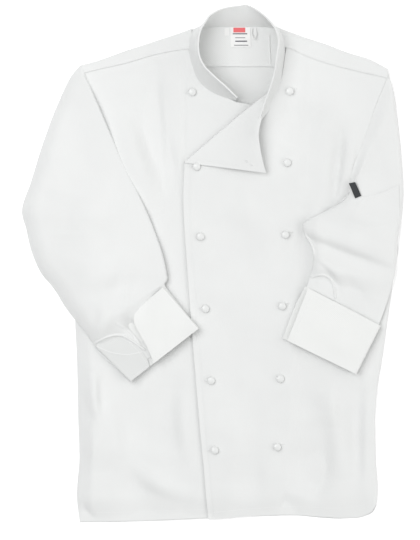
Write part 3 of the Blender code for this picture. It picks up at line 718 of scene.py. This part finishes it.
WHITE = (0.80, 0.808, 0.80)
CLOTH = twill("white_twill", WHITE)
CLOTH_CROSS = twill("white_twill_cross", WHITE, slant=-0.75)
# painted light: the cuffs take a lighter copy of the same twill, so that they look more brightly lit
CLOTH_CUFF_PAINTED_LIGHT = twill("white_twill_cuff_painted_light", (0.838, 0.846, 0.832), slant=-0.75)
# painted shade: a darker copy of the same twill for the open cuff's lower end, which lies in shade
CLOTH_PAINTED_SHADE = twill("white_twill_painted_shade", (0.735, 0.745, 0.735), slant=-0.75)
LABEL_TAPE = plain_finish("label_satin", (0.86, 0.86, 0.85), 0.55)
LABEL_INK = plain_finish("label_thread_dark", (0.10, 0.10, 0.12), 0.8)
LABEL_RED = plain_finish("label_thread_red", (0.80, 0.16, 0.17), 0.8)
CHARCOAL = plain_finish("tag_charcoal", (0.035, 0.038, 0.042), 0.75)
STUD = plain_finish("stud_gloss", (0.79, 0.80, 0.79), 0.25, Coat_Weight=0.3, Specular_IOR_Level=0.4)
THREAD_WHITE = plain_finish("thread_white", (0.84, 0.845, 0.84), 0.6)
FLOOR = Finish("floor_white", (0.97, 0.97, 0.97), 0.9, Emission_Color=(1.0, 1.0, 1.0, 1.0),
               Emission_Strength=0.22).material


def finish_piece(name, mesh, material, slot, *nodes):
    """A bmesh made an object that rides on the body and stands for the CAD nodes named."""
    data = bpy.data.meshes.new(name)
    mesh.to_mesh(data)
    mesh.free()
    data.shade_smooth()
    data.set_sharp_from_angle(angle=math.radians(SMOOTH_ANGLE))
    data.materials.append(material)
    piece = bpy.data.objects.new(name, data)
    bpy.context.scene.collection.objects.link(piece)
    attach(piece, "root")
    if nodes:
        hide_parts(*nodes)
    return piece


def grid_mesh(points, closed=False):
    """A create_grid mesh whose points are moved onto a grid of points; closed joins its rows."""
    columns, rows = points.shape[:2]
    mesh = bmesh.new()
    bmesh.ops.create_grid(mesh, x_segments=columns - 1, y_segments=rows - 1, size=0.5)
    for vert in mesh.verts:
        i, j = round((vert.co.x + 0.5) * (columns - 1)), round((vert.co.y + 0.5) * (rows - 1))
        vert.co = points[i, j] * MM
    if closed:
        bmesh.ops.remove_doubles(mesh, verts=mesh.verts, dist=1e-6)
    return mesh


LAID = []


def drop(x, y):
    """Height of the top of whatever is laid so far, at each place."""
    x, y = np.broadcast_arrays(np.asarray(x, float), np.asarray(y, float))
    top = np.zeros(x.shape)
    for index in np.ndindex(x.shape):
        for tree, rise in LAID:
            hit = tree.ray_cast(Vector((x[index], y[index], 200.0)), Vector((0.0, 0.0, -1.0)))[0]
            if hit is not None:
                top[index] = max(top[index], hit.z + rise)
    return top


def cloth(name, points, wall, slot, *nodes, closed=False, material=None, flip=False):
    """A thin shell on a grid of points, with a live wall thickness."""
    mesh = grid_mesh(points, closed)
    if flip:
        bmesh.ops.reverse_faces(mesh, faces=mesh.faces)
    corners = [tuple(vert.co / MM) for vert in mesh.verts]
    mesh.verts.index_update()
    LAID.append((BVHTree.FromPolygons(corners, [[v.index for v in f.verts] for f in mesh.faces]), wall / 2))
    piece = finish_piece(name, mesh, material or CLOTH, slot, *nodes)
    thick = piece.modifiers.new("wall", "SOLIDIFY")
    thick.thickness = wall * MM
    thick.offset = 0.0
    split = piece.modifiers.new("edges", "EDGE_SPLIT")
    split.split_angle = math.radians(SPLIT_ANGLE)
    return piece


def lying(grid, mid):
    """A grid of x, y points given heights."""
    return np.dstack([grid, np.broadcast_to(mid, grid.shape[:2])])


def normals_of(points):
    """Unit normals of a grid of points."""
    normal = np.cross(np.gradient(points, axis=0), np.gradient(points, axis=1))
    return normal / np.maximum(np.linalg.norm(normal, axis=2), 1e-9)[..., None]


def along_line(line, spacing):
    """Places and directions at even spacing along a line of points."""
    line = np.asarray(line, float)
    chord = np.linalg.norm(np.diff(line, axis=0), axis=1)
    at = np.concatenate([[0.0], np.cumsum(chord)])
    where = np.arange(spacing / 2, at[-1], spacing)
    place = np.column_stack([np.interp(where, at, line[:, i]) for i in range(line.shape[1])])
    ahead = np.column_stack([np.interp(where + 0.5, at, line[:, i]) for i in range(line.shape[1])])
    behind = np.column_stack([np.interp(where - 0.5, at, line[:, i]) for i in range(line.shape[1])])
    return place, ahead - behind


STITCH_PLACES = []


def sew(line, up=(0.0, 0.0, 1.0)):
    """Marks a run of topstitching along a line of points on the cloth's upper face."""
    place, way = along_line(line, STITCH + STITCH_GAP)
    if len(place) == 0:
        return
    way = way / np.maximum(np.linalg.norm(way, axis=1), 1e-9)[:, None]
    up = np.broadcast_to(np.asarray(up, float), place.shape)
    STITCH_PLACES.append(np.hstack([place, way, up]))


def make_stitches():
    """All the topstitching, as one joined mesh of short tapered threads."""
    rows = np.concatenate(STITCH_PLACES)
    place, way, up = rows[:, :3], rows[:, 3:6], rows[:, 6:9]
    side = np.cross(way, up)
    side = side / np.maximum(np.linalg.norm(side, axis=1), 1e-9)[:, None]
    up = np.cross(side, way)
    half = STITCH / 2
    profile = [(-half, 0, -0.2), (-half * 0.6, THREAD, 0.1), (-half * 0.6, -THREAD, 0.1),
               (-half * 0.6, 0, THREAD), (half * 0.6, THREAD, 0.1), (half * 0.6, -THREAD, 0.1),
               (half * 0.6, 0, THREAD), (half, 0, -0.2)]
    faces = [(0, 3, 1), (0, 2, 3), (1, 3, 6, 4), (3, 2, 5, 6), (4, 6, 7), (6, 5, 7),
             (0, 1, 4, 7), (0, 7, 5, 2)]
    points = np.stack([place + way * a + side * b + up * c for a, b, c in profile], axis=1)
    data = bpy.data.meshes.new("topstitching")
    count = len(rows)
    data.from_pydata((points.reshape(-1, 3) * MM).tolist(), [],
                     [tuple(8 * i + corner for corner in face) for i in range(count) for face in faces])
    mesh = bmesh.new()
    mesh.from_mesh(data)
    bmesh.ops.recalc_face_normals(mesh, faces=mesh.faces)
    bpy.data.meshes.remove(data)
    finish_piece("topstitching", mesh, THREAD_WHITE, "white_twill")


def inset_line(line, distance):
    """A line moved to its left by a distance, in plan."""
    along = np.gradient(line, axis=0)
    along = along / np.linalg.norm(along, axis=1)[:, None]
    return line + distance * np.column_stack([-along[:, 1], along[:, 0]])


def sew_flat(line, height):
    """Topstitching on a lying panel along a line in plan."""
    sew(np.column_stack([line, height(line[:, 0], line[:, 1]) + TWILL / 2]))


def make_back():
    hem = curve(HEM_BACK, 120)
    seam_points = np.vstack([YOKE_STRAP_RIGHT[:-2, :2], YOKE_NECK[:, :2], YOKE_STRAP_LEFT[2:, :2]])
    seam = curve(seam_points, 120)
    left = curve([hem[0]] + [(x, y) for y, x, _ in SIDES[1:15]] + [seam[0]], 180)
    right = curve([hem[-1]] + [(x, y) for y, _, x in SIDES[1:15]] + [seam[-1]], 180)
    grid = patch(hem, seam, left, right)
    cloth("back", lying(grid, TWILL / 2), TWILL, "white_twill", "back_panel")
    sew_flat(seam - (0.0, SEAM_INSET), lambda x, y: np.full(x.shape, TWILL / 2))


def strap(rows, count):
    """Points of one yoke strap: from the back seam, over the shoulder, to the front seam."""
    columns = []
    for x, back, fold, front in curve(rows, count):
        start = float(top_mid(x, front)) if x > 0 else float(under_mid(x, front))
        radius = (start - TWILL / 2) / 2
        turn = np.linspace(-math.pi / 2, math.pi / 2, 15)
        middle = fold - radius * STRAP_FULLNESS
        lower = [(y, TWILL / 2) for y in np.linspace(back, middle, 14)[:-1]]
        roll = [(middle + STRAP_FULLNESS * radius * math.cos(a), TWILL / 2 + radius * (1 + math.sin(a)))
                for a in turn]
        ys = np.linspace(middle, front, 10)[1:]
        heights = top_mid(np.full(ys.shape, x), ys) if x > 0 else under_mid(np.full(ys.shape, x), ys)
        heights = heights + STRAP_LIFT
        blend = ease((middle - ys) / max(1.0, middle - front))
        upper = [(y, start * (1 - b) + h * b) for y, h, b in zip(ys, heights, blend)]
        columns.append([(x, y, z) for y, z in lower + roll + upper])
    return np.array(columns)


def make_yoke():
    right = strap(YOKE_STRAP_RIGHT, 52)
    left = strap(YOKE_STRAP_LEFT, 52)
    neck = curve(YOKE_NECK, 50)
    rows = np.linspace(0.0, 1.0, 22) ** 1.6
    heights = YOKE_MID + YOKE_EDGE_RISE * (1.0 - ease(rows * 7.0))
    middle = np.array([[(x, a + (b - a) * t, z) for t, z in zip(rows, heights)] for x, a, b in neck])
    cloth("yoke_right", right, TWILL, "white_twill", "yoke", material=CLOTH_CROSS, flip=True)
    cloth("yoke_left", left, TWILL, "white_twill", material=CLOTH_CROSS, flip=True)
    cloth("yoke_behind_neck", middle, TWILL, "white_twill", material=CLOTH_CROSS)
    sew_flat(neck[:, :2] + (0.0, SEAM_INSET), lambda x, y: np.full(x.shape, YOKE_MID + 0.8))
    line = curve(WELT, 24)
    points = np.stack([inset_line(line, a) for a in (-1.6, -0.8, 0.0, 0.8, 1.6)], axis=1)
    cloth("yoke_welt", lying(points, np.array([2.0, 2.8, 3.0, 2.8, 2.0]) + 0.2), 0.5, "white_twill")
    for points in (right, left):
        for row in (-2, -3):
            sew(points[:, row] + (0.0, 0.0, TWILL / 2))


def under_yoke(grid, mid, seam):
    """Heights of a front, lowered where it passes under the yoke's edge."""
    past = grid[..., 1] - np.interp(grid[..., 0], *np.transpose(seam))
    return mid - UNDER_STRAP * fade(past, UNDER_STRAP_START, UNDER_STRAP_LENGTH)


def under_collar(points):
    """Points of a neck edge, moved in so that the collar stands over them."""
    inward = NECK_CENTRE - np.array(points, float)
    return points + COLLAR_OVERLAP * inward / np.linalg.norm(inward, axis=1)[:, None]


def make_fronts():
    lap = (0.0, 4.0)
    hem = curve(HEM_UNDER, 96)
    seam = curve(YOKE_RIGHT, 46)
    neck = under_collar(NECK_RIGHT)
    neck[0], neck[-1] = seam[-1] + lap, UNDER_TOP[0]
    top = corner_line((seam + lap, 45), (neck, 30), (UNDER_TOP, 20))
    left = curve([hem[0]] + [(x, y) for y, x, _ in SIDES[1:17]] + [top[0]], 210)
    right = curve([hem[-1]] + [(x, y) for y, _, x in FRONTS[1:9]] + [top[-1]], 210)
    grid = relax(patch(hem, top, left, right))
    mid = under_yoke(grid, under_mid(grid[..., 0], grid[..., 1]), seam)
    cloth("front_under", lying(grid, mid), TWILL, "white_twill", "front_right")
    sew_flat(grid[:70, 4], under_mid)
    sew_flat(inset_line(seam, -SEAM_INSET), under_mid)

    hem = curve(HEM_TOP, 100)
    seam = curve(YOKE_LEFT, 43)
    neck = under_collar(NECK_LEFT)
    neck[0], neck[-1] = ROLL_LINE[-1], seam[0] + lap
    top = corner_line((ROLL_LINE, 35), (neck, 22), (seam + lap, 42))
    left = curve([hem[0]] + [(x, y) for y, x, _ in FRONTS[1:8]] + [top[0]], 210)
    right = curve([hem[-1]] + [(x, y) for y, _, x in SIDES[1:16]] + [top[-1]], 210)
    grid = relax(patch(hem, top, left, right))
    mid = under_yoke(grid, top_mid(grid[..., 0], grid[..., 1]), seam)
    cloth("front_top", lying(grid, mid), TWILL, "white_twill", "front_left")
    sew_flat(grid[2:, 4], top_mid)
    sew_flat(inset_line(left, -EDGE_INSET)[2:-3], top_mid)
    sew_flat(inset_line(seam, -SEAM_INSET), top_mid)
    armhole = right[100:]
    sew_flat(inset_line(armhole[armhole[:, 1] > 150.0], SEAM_INSET), top_mid)


def make_lapel():
    """The corner of the top panel, rolled back along a slanting line and clear of the chest."""
    rows = curve(LAPEL, 44)
    share = np.linspace(0.0, 1.0, 40)[1:]
    points = []
    for roll, (x0, y0, x1, y1, edge) in zip(np.linspace(LAPEL_ROLL, 1.0, len(rows)), rows):
        start, end = np.array((x0, y0)), np.array((x1, y1))
        width = np.linalg.norm(end - start)
        way = (end - start) / width
        turn = np.linspace(-math.pi / 2, math.pi / 2, 12)
        base = float(top_mid(x0, y0))
        roll_s, roll_z = -roll * np.cos(turn), base + roll * (1 + np.sin(turn))
        plan = start + share[:, None] * width * way
        rise = base + 2 * roll + (edge - base - 2 * roll) * ease(share * 1.05)
        rest = top_mid(plan[:, 0], plan[:, 1]) + TWILL + 1.0
        s = np.concatenate([roll_s, share * width])
        z = np.concatenate([roll_z, np.maximum(rise, rest)])
        place = start + s[:, None] * way
        points.append(np.column_stack([place, z]))
    points = np.array(points)
    cloth("front_turned_corner", points, LAPEL_WALL, "white_twill", "front_left_turned_corner")
    for line in (points[-4, 14:-3], points[3:-3, -4]):
        sew(line + (0.0, 0.0, LAPEL_WALL / 2))
    x, y = CORNER_HOLE
    make_buttonhole("corner_buttonhole", (x, y, float(points[-9, 40, 2]) + 0.9), math.radians(-38.0))


def make_collar():
    sections = curve(COLLAR, 190)
    seam, edge = sections[:, :3], sections[:, 3:]
    seam[:, 2] -= COLLAR_SETTLE * fade(seam[:, 2], SETTLE_START, SETTLE_LENGTH)
    along = np.gradient(seam[:, :2], axis=0)
    out = -np.column_stack([along[:, 1], -along[:, 0], np.zeros(len(along))])
    out = out / np.linalg.norm(out, axis=1)[:, None]
    share = np.linspace(0.0, 1.0, 20)[None, :, None]
    points = seam[:, None] * (1 - share) + edge[:, None] * share
    points = points - COLLAR_BULGE * np.sin(math.pi * share) * out[:, None]
    cloth("stand_collar", points, BAND, "white_twill", "collar", material=CLOTH_CROSS)
    normal = normals_of(points)
    for row in (-3, 2):
        for face in (1, -1):
            sew(points[2:-2, row] + face * BAND / 2 * normal[2:-2, row], face * normal[2:-2, row][:1])


def sleeve(name, node, rows, count, roll, level, reach, height, tuck, swap):
    """A flattened tube from the armhole to the cuff: round edges, a soft top and a flat underside.

    Its inner edge rolls up within a width to a level of the full height, and the height falls off
    within reach of the outer edge. A tucked head goes in under the body's panels.
    """
    table = curve(rows, count)
    turn = np.linspace(0.0, math.pi, TUBE_STEPS)
    share = (1 - np.cos(turn)) / 2
    start, end = table[:, None, :2], table[:, None, 2:]
    plan = start + share[None, :, None] * (end - start)
    below = start + share[::-2][1:-1][None, :, None] * (end - start)
    inner, outer = table[::2, :2], table[::2, 2:]
    if not tuck:
        inner = np.vstack([table[:1, 2:], inner])
    near_inner = away_from(plan[..., 0], plan[..., 1], inner)
    near_outer = away_from(plan[..., 0], plan[..., 1], outer)
    profile = round_edge(near_inner / roll) * up_from(level, ease(near_inner / PUFF_REACH))
    profile = profile * (1 - np.clip(1 - near_outer / reach, 0, 1) ** 3)
    down = np.linspace(0.0, 1.0, count)[:, None]
    puff = height * (1 - TAPER * fade(down, TAPER_START, TAPER_LENGTH))
    rest = stack_top(plan[..., 0], plan[..., 1]) + TWILL / 2
    lift = SLEEVE_FOLD_GAIN * fold_height(plan[..., 0], plan[..., 1], SLEEVE_FOLDS)
    lift = lift + ripple(plan[..., 0] + 300, plan[..., 1])
    top = np.maximum(rest + puff * profile + lift * ease(profile * 1.6 - 0.4), rest + 0.3)
    low = stack_top(below[..., 0], below[..., 1]) + TWILL / 2
    if tuck:
        joined = ease(np.arange(count) / TUCK_ROWS)[:, None]
        body = top_mid(plan[..., 0], plan[..., 1]) - 1.5 * TWILL
        top = top * joined + body * (1 - joined)
        body = top_mid(below[..., 0], below[..., 1]) - TUCK_DEPTH
        low = np.maximum(np.minimum(low, low * joined + body * (1 - joined)), TWILL)
    over, under = np.dstack([plan, top]), np.dstack([below, low])
    points = np.concatenate([over, under, over[:, :1]], axis=1)
    cloth(name, points, TWILL, "white_twill", node, closed=True, flip=swap)


def make_sleeves():
    sleeve("sleeve_folded_right", "sleeve_right", SLEEVE_RIGHT, count=170, roll=4.0, level=0.22,
           reach=31.0, height=21.0, tuck=False, swap=True)
    rows = SLEEVE_LEFT.copy()
    rows[0] += (-6.0, 3.0, -5.0, 4.0)
    sleeve("sleeve_folded_left", "sleeve_left", rows, count=160, roll=24.0, level=1.45,
           reach=9.0, height=7.0, tuck=True, swap=False)


def cuff(name, node, corners, ends, lower_turns_up, swap):
    """A turned-back band round the sleeve's end, open along a slit between its two ends."""
    near, far = np.array(corners[0]), np.array(corners[1])
    rows = []
    for depth in np.linspace(0.0, 1.0, CUFF_ROWS):
        x0, y0, x1, y1 = near + (far - near) * depth
        start, end = np.array((x0, y0)), np.array((x1, y1))
        width = np.linalg.norm(end - start)
        way = (end - start) / width
        radius = CUFF_ROLL
        lower, upper = between(ends, depth, 1), between(ends, depth, 2)
        turn = np.linspace(-math.pi / 2, math.pi / 2, 11)
        right = np.column_stack([width - radius + radius * np.cos(turn), radius + radius * np.sin(turn)])
        left = np.column_stack([radius - radius * np.cos(turn), radius + radius * np.sin(turn)])[::-1]
        top = np.column_stack([np.linspace(width - radius, upper, CUFF_TOP)[1:],
                               np.full(CUFF_TOP - 1, 2 * radius)])
        swell = np.sin(math.pi * np.clip((width - top[:, 0]) / (width - upper), 0, 1))
        top[:, 1] += CUFF_SWELL * swell * math.sin(math.pi * depth)
        if lower_turns_up:
            top[:, 1] += ease(1 - (top[:, 0] - upper) / END_REACH)
            tail = np.column_stack([np.linspace(lower, radius, CUFF_TAIL)[:-1],
                                    np.full(CUFF_TAIL - 1, 2 * radius)])
            tail[:, 1] -= TAIL_DROP * ease(1 - (lower - tail[:, 0]) / TAIL_REACH)
            tail[:, 1] -= TAIL_SLOPE * depth
            run = np.column_stack([np.linspace(radius, width - radius, CUFF_RUN)[1:-1],
                                   np.zeros(CUFF_RUN - 2)])
            path = np.concatenate([tail, left, run, right, top])
        else:
            run = np.column_stack([np.linspace(lower, width - radius, CUFF_TOP)[:-1],
                                   np.zeros(CUFF_TOP - 1)])
            path = np.concatenate([run, right, top])
        plan = start + path[:, :1] * way
        rest = stack_top(plan[:, 0], plan[:, 1])
        base = CUFF_BASE[2] * fade(plan[:, 0], *CUFF_BASE[:2])
        lift = CUFF_END_RISE * depth * fade(path[:, 0] - upper, -END_SPAN / 2, END_SPAN)
        across = np.clip((path[:, 0] - upper) / (width - upper), 0, 1)
        lift = lift + CUFF_LIFT * across * ease(path[:, 1] / radius - 1)
        rows.append(np.column_stack([plan, path[:, 1] + np.maximum(rest, base) + lift + BAND / 2]))
    points = np.array(rows)
    crumple = ripple(points[..., 0] * 1.6, points[..., 1] * 1.6, 0.5)
    points[..., 2] += crumple * ease((points[..., 2] - 14.0) / 4.0)
    piece = cloth(name, points, BAND, "white_twill", node, flip=swap, material=CLOTH_CUFF_PAINTED_LIGHT)
    if lower_turns_up:
        paint_end_shade(piece, points)
    return points


def paint_end_shade(piece, points):
    """Gives the lower end of an open cuff a darker copy of the twill: painted shade, where it lies under
    the sleeve's bulge.
    """
    piece.data.materials.append(CLOTH_PAINTED_SHADE)
    ends = slice(0, CUFF_TAIL), slice(1 - CUFF_TOP, None)
    tail, rest = (points[:, part].reshape(-1, 3) for part in ends)
    for face in piece.data.polygons:
        centre = np.array(face.center) / MM
        nearest = [np.min(np.sum((line - centre) ** 2, axis=1)) for line in (tail, rest)]
        face.material_index = int(nearest[0] < nearest[1])


def make_cuffs():
    right = cuff("cuff_open_right", "cuff_right", CUFF_RIGHT, CUFF_RIGHT_ENDS, True, False)
    left = cuff("cuff_closed_left", "cuff_left", CUFF_LEFT, CUFF_LEFT_ENDS, False, False)
    up = (0.0, 0.0, BAND / 2)
    for points in (right, left):
        for line in (points[-3, -42:-3], points[3, -42:-3], points[3:-2, -4]):
            sew(line + up)
    for line in (right[3:-3, 3], right[-3, 3:25]):
        sew(line + up)
    bound_edge("cuff_rim_near", CUFF_RIM_NEAR, 3.6, 1.5)
    bound_edge("cuff_rim_far", CUFF_RIM_FAR, 1.8, 0.2)


def make_buttonhole(name, place, heading):
    """A worked slit: a raised bead of thread round a narrow opening."""
    mesh = bmesh.new()
    length, width, turns = 15.0, 1.9, 30
    for index in range(turns):
        angle = 2 * math.pi * index / turns
        radial = (abs(math.cos(angle)) ** 0.4) * math.copysign(1, math.cos(angle))
        x, y = radial * length / 2, math.sin(angle) * width / 2
        ball = bmesh.ops.create_icosphere(mesh, subdivisions=1, radius=0.6 * MM)
        shift = Vector((x * math.cos(heading) - y * math.sin(heading),
                        x * math.sin(heading) + y * math.cos(heading), 0.0))
        for vert in ball["verts"]:
            vert.co = vert.co + (shift + Vector(place)) * MM
    return finish_piece(name, mesh, THREAD_WHITE, "white_twill")


def make_buttons():
    """Domed studs with a rolled rim, each pushed through a worked buttonhole."""
    radius, height = BUTTON_RADIUS, BUTTON_HEIGHT
    profile = [(0.0, height), (0.35 * radius, height * 0.985), (0.62 * radius, height * 0.88),
               (0.8 * radius, height * 0.76), (0.93 * radius, height * 0.62), (radius, height * 0.42),
               (0.96 * radius, height * 0.22), (0.8 * radius, height * 0.08), (0.0, 0.0)]
    for number, (y, right_x, left_x, offset) in enumerate(BUTTONS, start=1):
        for side, x, at_y in (("right", right_x, y), ("left", left_x, y + offset)):
            under = side == "right" and number == 1
            mid = float(under_mid(x, at_y)) if under else float(top_mid(x, at_y))
            mesh = bmesh.new()
            verts = [mesh.verts.new((a * MM, 0.0, b * MM)) for a, b in profile]
            edges = [mesh.edges.new(pair) for pair in zip(verts, verts[1:])]
            bmesh.ops.spin(mesh, geom=verts + edges, angle=2 * math.pi, steps=36, use_merge=True,
                           axis=(0.0, 0.0, 1.0), cent=(0.0, 0.0, 0.0))
            bmesh.ops.remove_doubles(mesh, verts=mesh.verts, dist=1e-6)
            bmesh.ops.recalc_face_normals(mesh, faces=mesh.faces)
            base = mid + TWILL / 2 + 1.0
            bmesh.ops.translate(mesh, verts=mesh.verts, vec=Vector((x, at_y, base)) * MM)
            finish_piece(f"stud_{side}_{number}", mesh, STUD, "gloss_white", f"button_{side}_{number}")
            toward = 1.0 if side == "left" else -1.0
            make_buttonhole(f"buttonhole_{side}_{number}", (x + 3.5 * toward, at_y + 1.5, mid + TWILL / 2),
                            math.radians(24.0))


def small_panel(name, corners, mid, wall, slot, material, *nodes):
    """A small four-cornered piece of tape."""
    a, b, c, d = (np.array(corner, float) for corner in corners)
    bottom, top = np.linspace(a, b, 14), np.linspace(d, c, 14)
    grid = patch(bottom, top, np.linspace(a, d, 14), np.linspace(b, c, 14))
    return cloth(name, lying(grid, mid), wall, slot, *nodes, material=material)


def make_neck_trims():
    mid = 2 * TWILL + 0.3 + TAPE / 2
    print_mid, print_wall = mid + 0.6, 0.3
    small_panel("woven_label", LABEL, mid, TAPE, "white_tape", LABEL_TAPE, "neck_label")
    small_panel("label_band", LABEL_BAND, print_mid, print_wall, "white_tape", LABEL_RED)
    for number, (y, x0, x1, tall) in enumerate(LABEL_BARS, start=1):
        small_panel(f"label_bar_{number}", [(x0, y), (x1, y), (x1, y + tall), (x0, y + tall)],
                    print_mid, print_wall, "white_tape", LABEL_INK)
    small_panel("size_tab_tape", SIZE_TAB, mid, TAPE, "white_tape", LABEL_TAPE, "size_tab")
    path = curve(np.array(HANGER) + (0.0, 0.0, mid), 40)
    across = np.array((0.0, 0.0, 2.6))
    points = np.stack([path - across / 2, path + across / 2], axis=1)
    cloth("hanger_tape", points, TAPE, "white_tape", "hanger_loop", material=LABEL_TAPE)


def bound_edge(name, path, wide, thick, *nodes):
    """A narrow folded tape laid along a path on whatever is under it."""
    line = curve(path, 40)
    across = np.linspace(-0.5, 0.5, 7)
    lines = [inset_line(line, wide * a) for a in across]
    rises = thick * np.sqrt(1 - (2 * across) ** 2 * 0.96)
    height = drop(line[:, 0], line[:, 1])
    points = np.stack([np.column_stack([plan, height + rise]) for plan, rise in zip(lines, rises)], axis=1)
    return cloth(name, points, TAPE, "white_twill", *nodes, flip=True)


def make_sleeve_trims():
    """Pen pocket, its tag, and the bindings of the sleeve vents."""
    top, bottom = curve(POCKET_TOP, 30), curve(POCKET_BOTTOM, 30)
    grid = patch(bottom, top, np.linspace(bottom[0], top[0], 24), np.linspace(bottom[-1], top[-1], 24))
    height = drop(grid[..., 0], grid[..., 1])
    edge = ease(np.linspace(0, 6, 30))[:, None] * ease(np.linspace(0, 3, 24))[None]
    cloth("pen_pocket", lying(grid, height + 1.4 * edge - 0.6), 0.5, "white_twill", "sleeve_pocket")
    for inset in (2.0, 6.0):
        line = inset_line(top[1:-1], -inset)
        sew(np.column_stack([line, drop(line[:, 0], line[:, 1])]))
    mid = max(drop(x, y).item() for x, y in TAG + TAG_MIDDLES) + 0.8
    small_panel("corner_tag", TAG, mid, TAPE, "charcoal_tape", CHARCOAL, "pocket_tag")
    bound_edge("vent_binding_left", VENT_LEFT, 3.6, 1.2, "vent_left")
    bound_edge("vent_binding_right", VENT_RIGHT, 5.0, 0.6, "vent_right")


def make_stage():
    mesh = bmesh.new()
    bmesh.ops.create_grid(mesh, x_segments=1, y_segments=1, size=4.0)
    data = bpy.data.meshes.new("floor")
    mesh.to_mesh(data)
    mesh.free()
    data.materials.append(FLOOR)
    floor = bpy.data.objects.new("floor", data)
    floor.location = (0.0, 0.0, -0.0005)
    bpy.context.scene.collection.objects.link(floor)


def area_light(name, place, size, power, colour):
    data = bpy.data.lights.new(name, "AREA")
    data.shape = "SQUARE"
    data.size = size
    data.energy = power
    data.color = colour
    light = bpy.data.objects.new(name, data)
    light.location = place
    light.rotation_euler = (-Vector(place)).to_track_quat("-Z", "Y").to_euler()
    bpy.context.scene.collection.objects.link(light)


def make_lights():
    area_light("key", place=(-1.9, 0.9, 3.4), size=3.0, power=88.0, colour=(0.985, 0.99, 1.0))
    area_light("fill", place=(3.2, -0.4, 1.9), size=1.8, power=16.0, colour=(1.0, 0.997, 0.98))
    world = bpy.data.worlds.new("studio")
    bpy.context.scene.world = world
    world.use_nodes = True
    nodes, links = world.node_tree.nodes, world.node_tree.links
    split = nodes.new("ShaderNodeSeparateXYZ")
    height = nodes.new("ShaderNodeMath")
    side = nodes.new("ShaderNodeMapRange")
    side.interpolation_type = "SMOOTHSTEP"
    for socket, value in (("From Min", -0.75), ("From Max", 0.75), ("To Min", 0.0), ("To Max", 0.74)):
        side.inputs[socket].default_value = value
    links.new(nodes.new("ShaderNodeTexCoord").outputs["Generated"], split.inputs[0])
    links.new(split.outputs["Z"], height.inputs[0])
    links.new(split.outputs["X"], height.inputs[1])
    links.new(height.outputs[0], side.inputs["Value"])
    links.new(side.outputs["Result"], nodes["Background"].inputs["Strength"])
    nodes["Background"].inputs["Color"].default_value = (1.0, 1.0, 1.0, 1.0)


def make_camera():
    data = bpy.data.cameras.new("camera")
    data.sensor_width, data.lens = 36.0, 199.8
    camera = bpy.data.objects.new("camera", data)
    camera.location = (-0.0044, -0.0093, 4.8)
    bpy.context.scene.collection.objects.link(camera)
    bpy.context.scene.camera = camera
    bpy.context.scene.view_settings.view_transform = "Standard"


make_camera()
make_back()
make_yoke()
make_fronts()
make_lapel()
make_collar()
make_sleeves()
make_sleeve_trims()
make_cuffs()
make_neck_trims()
make_buttons()
make_stitches()
make_stage()
make_lights()
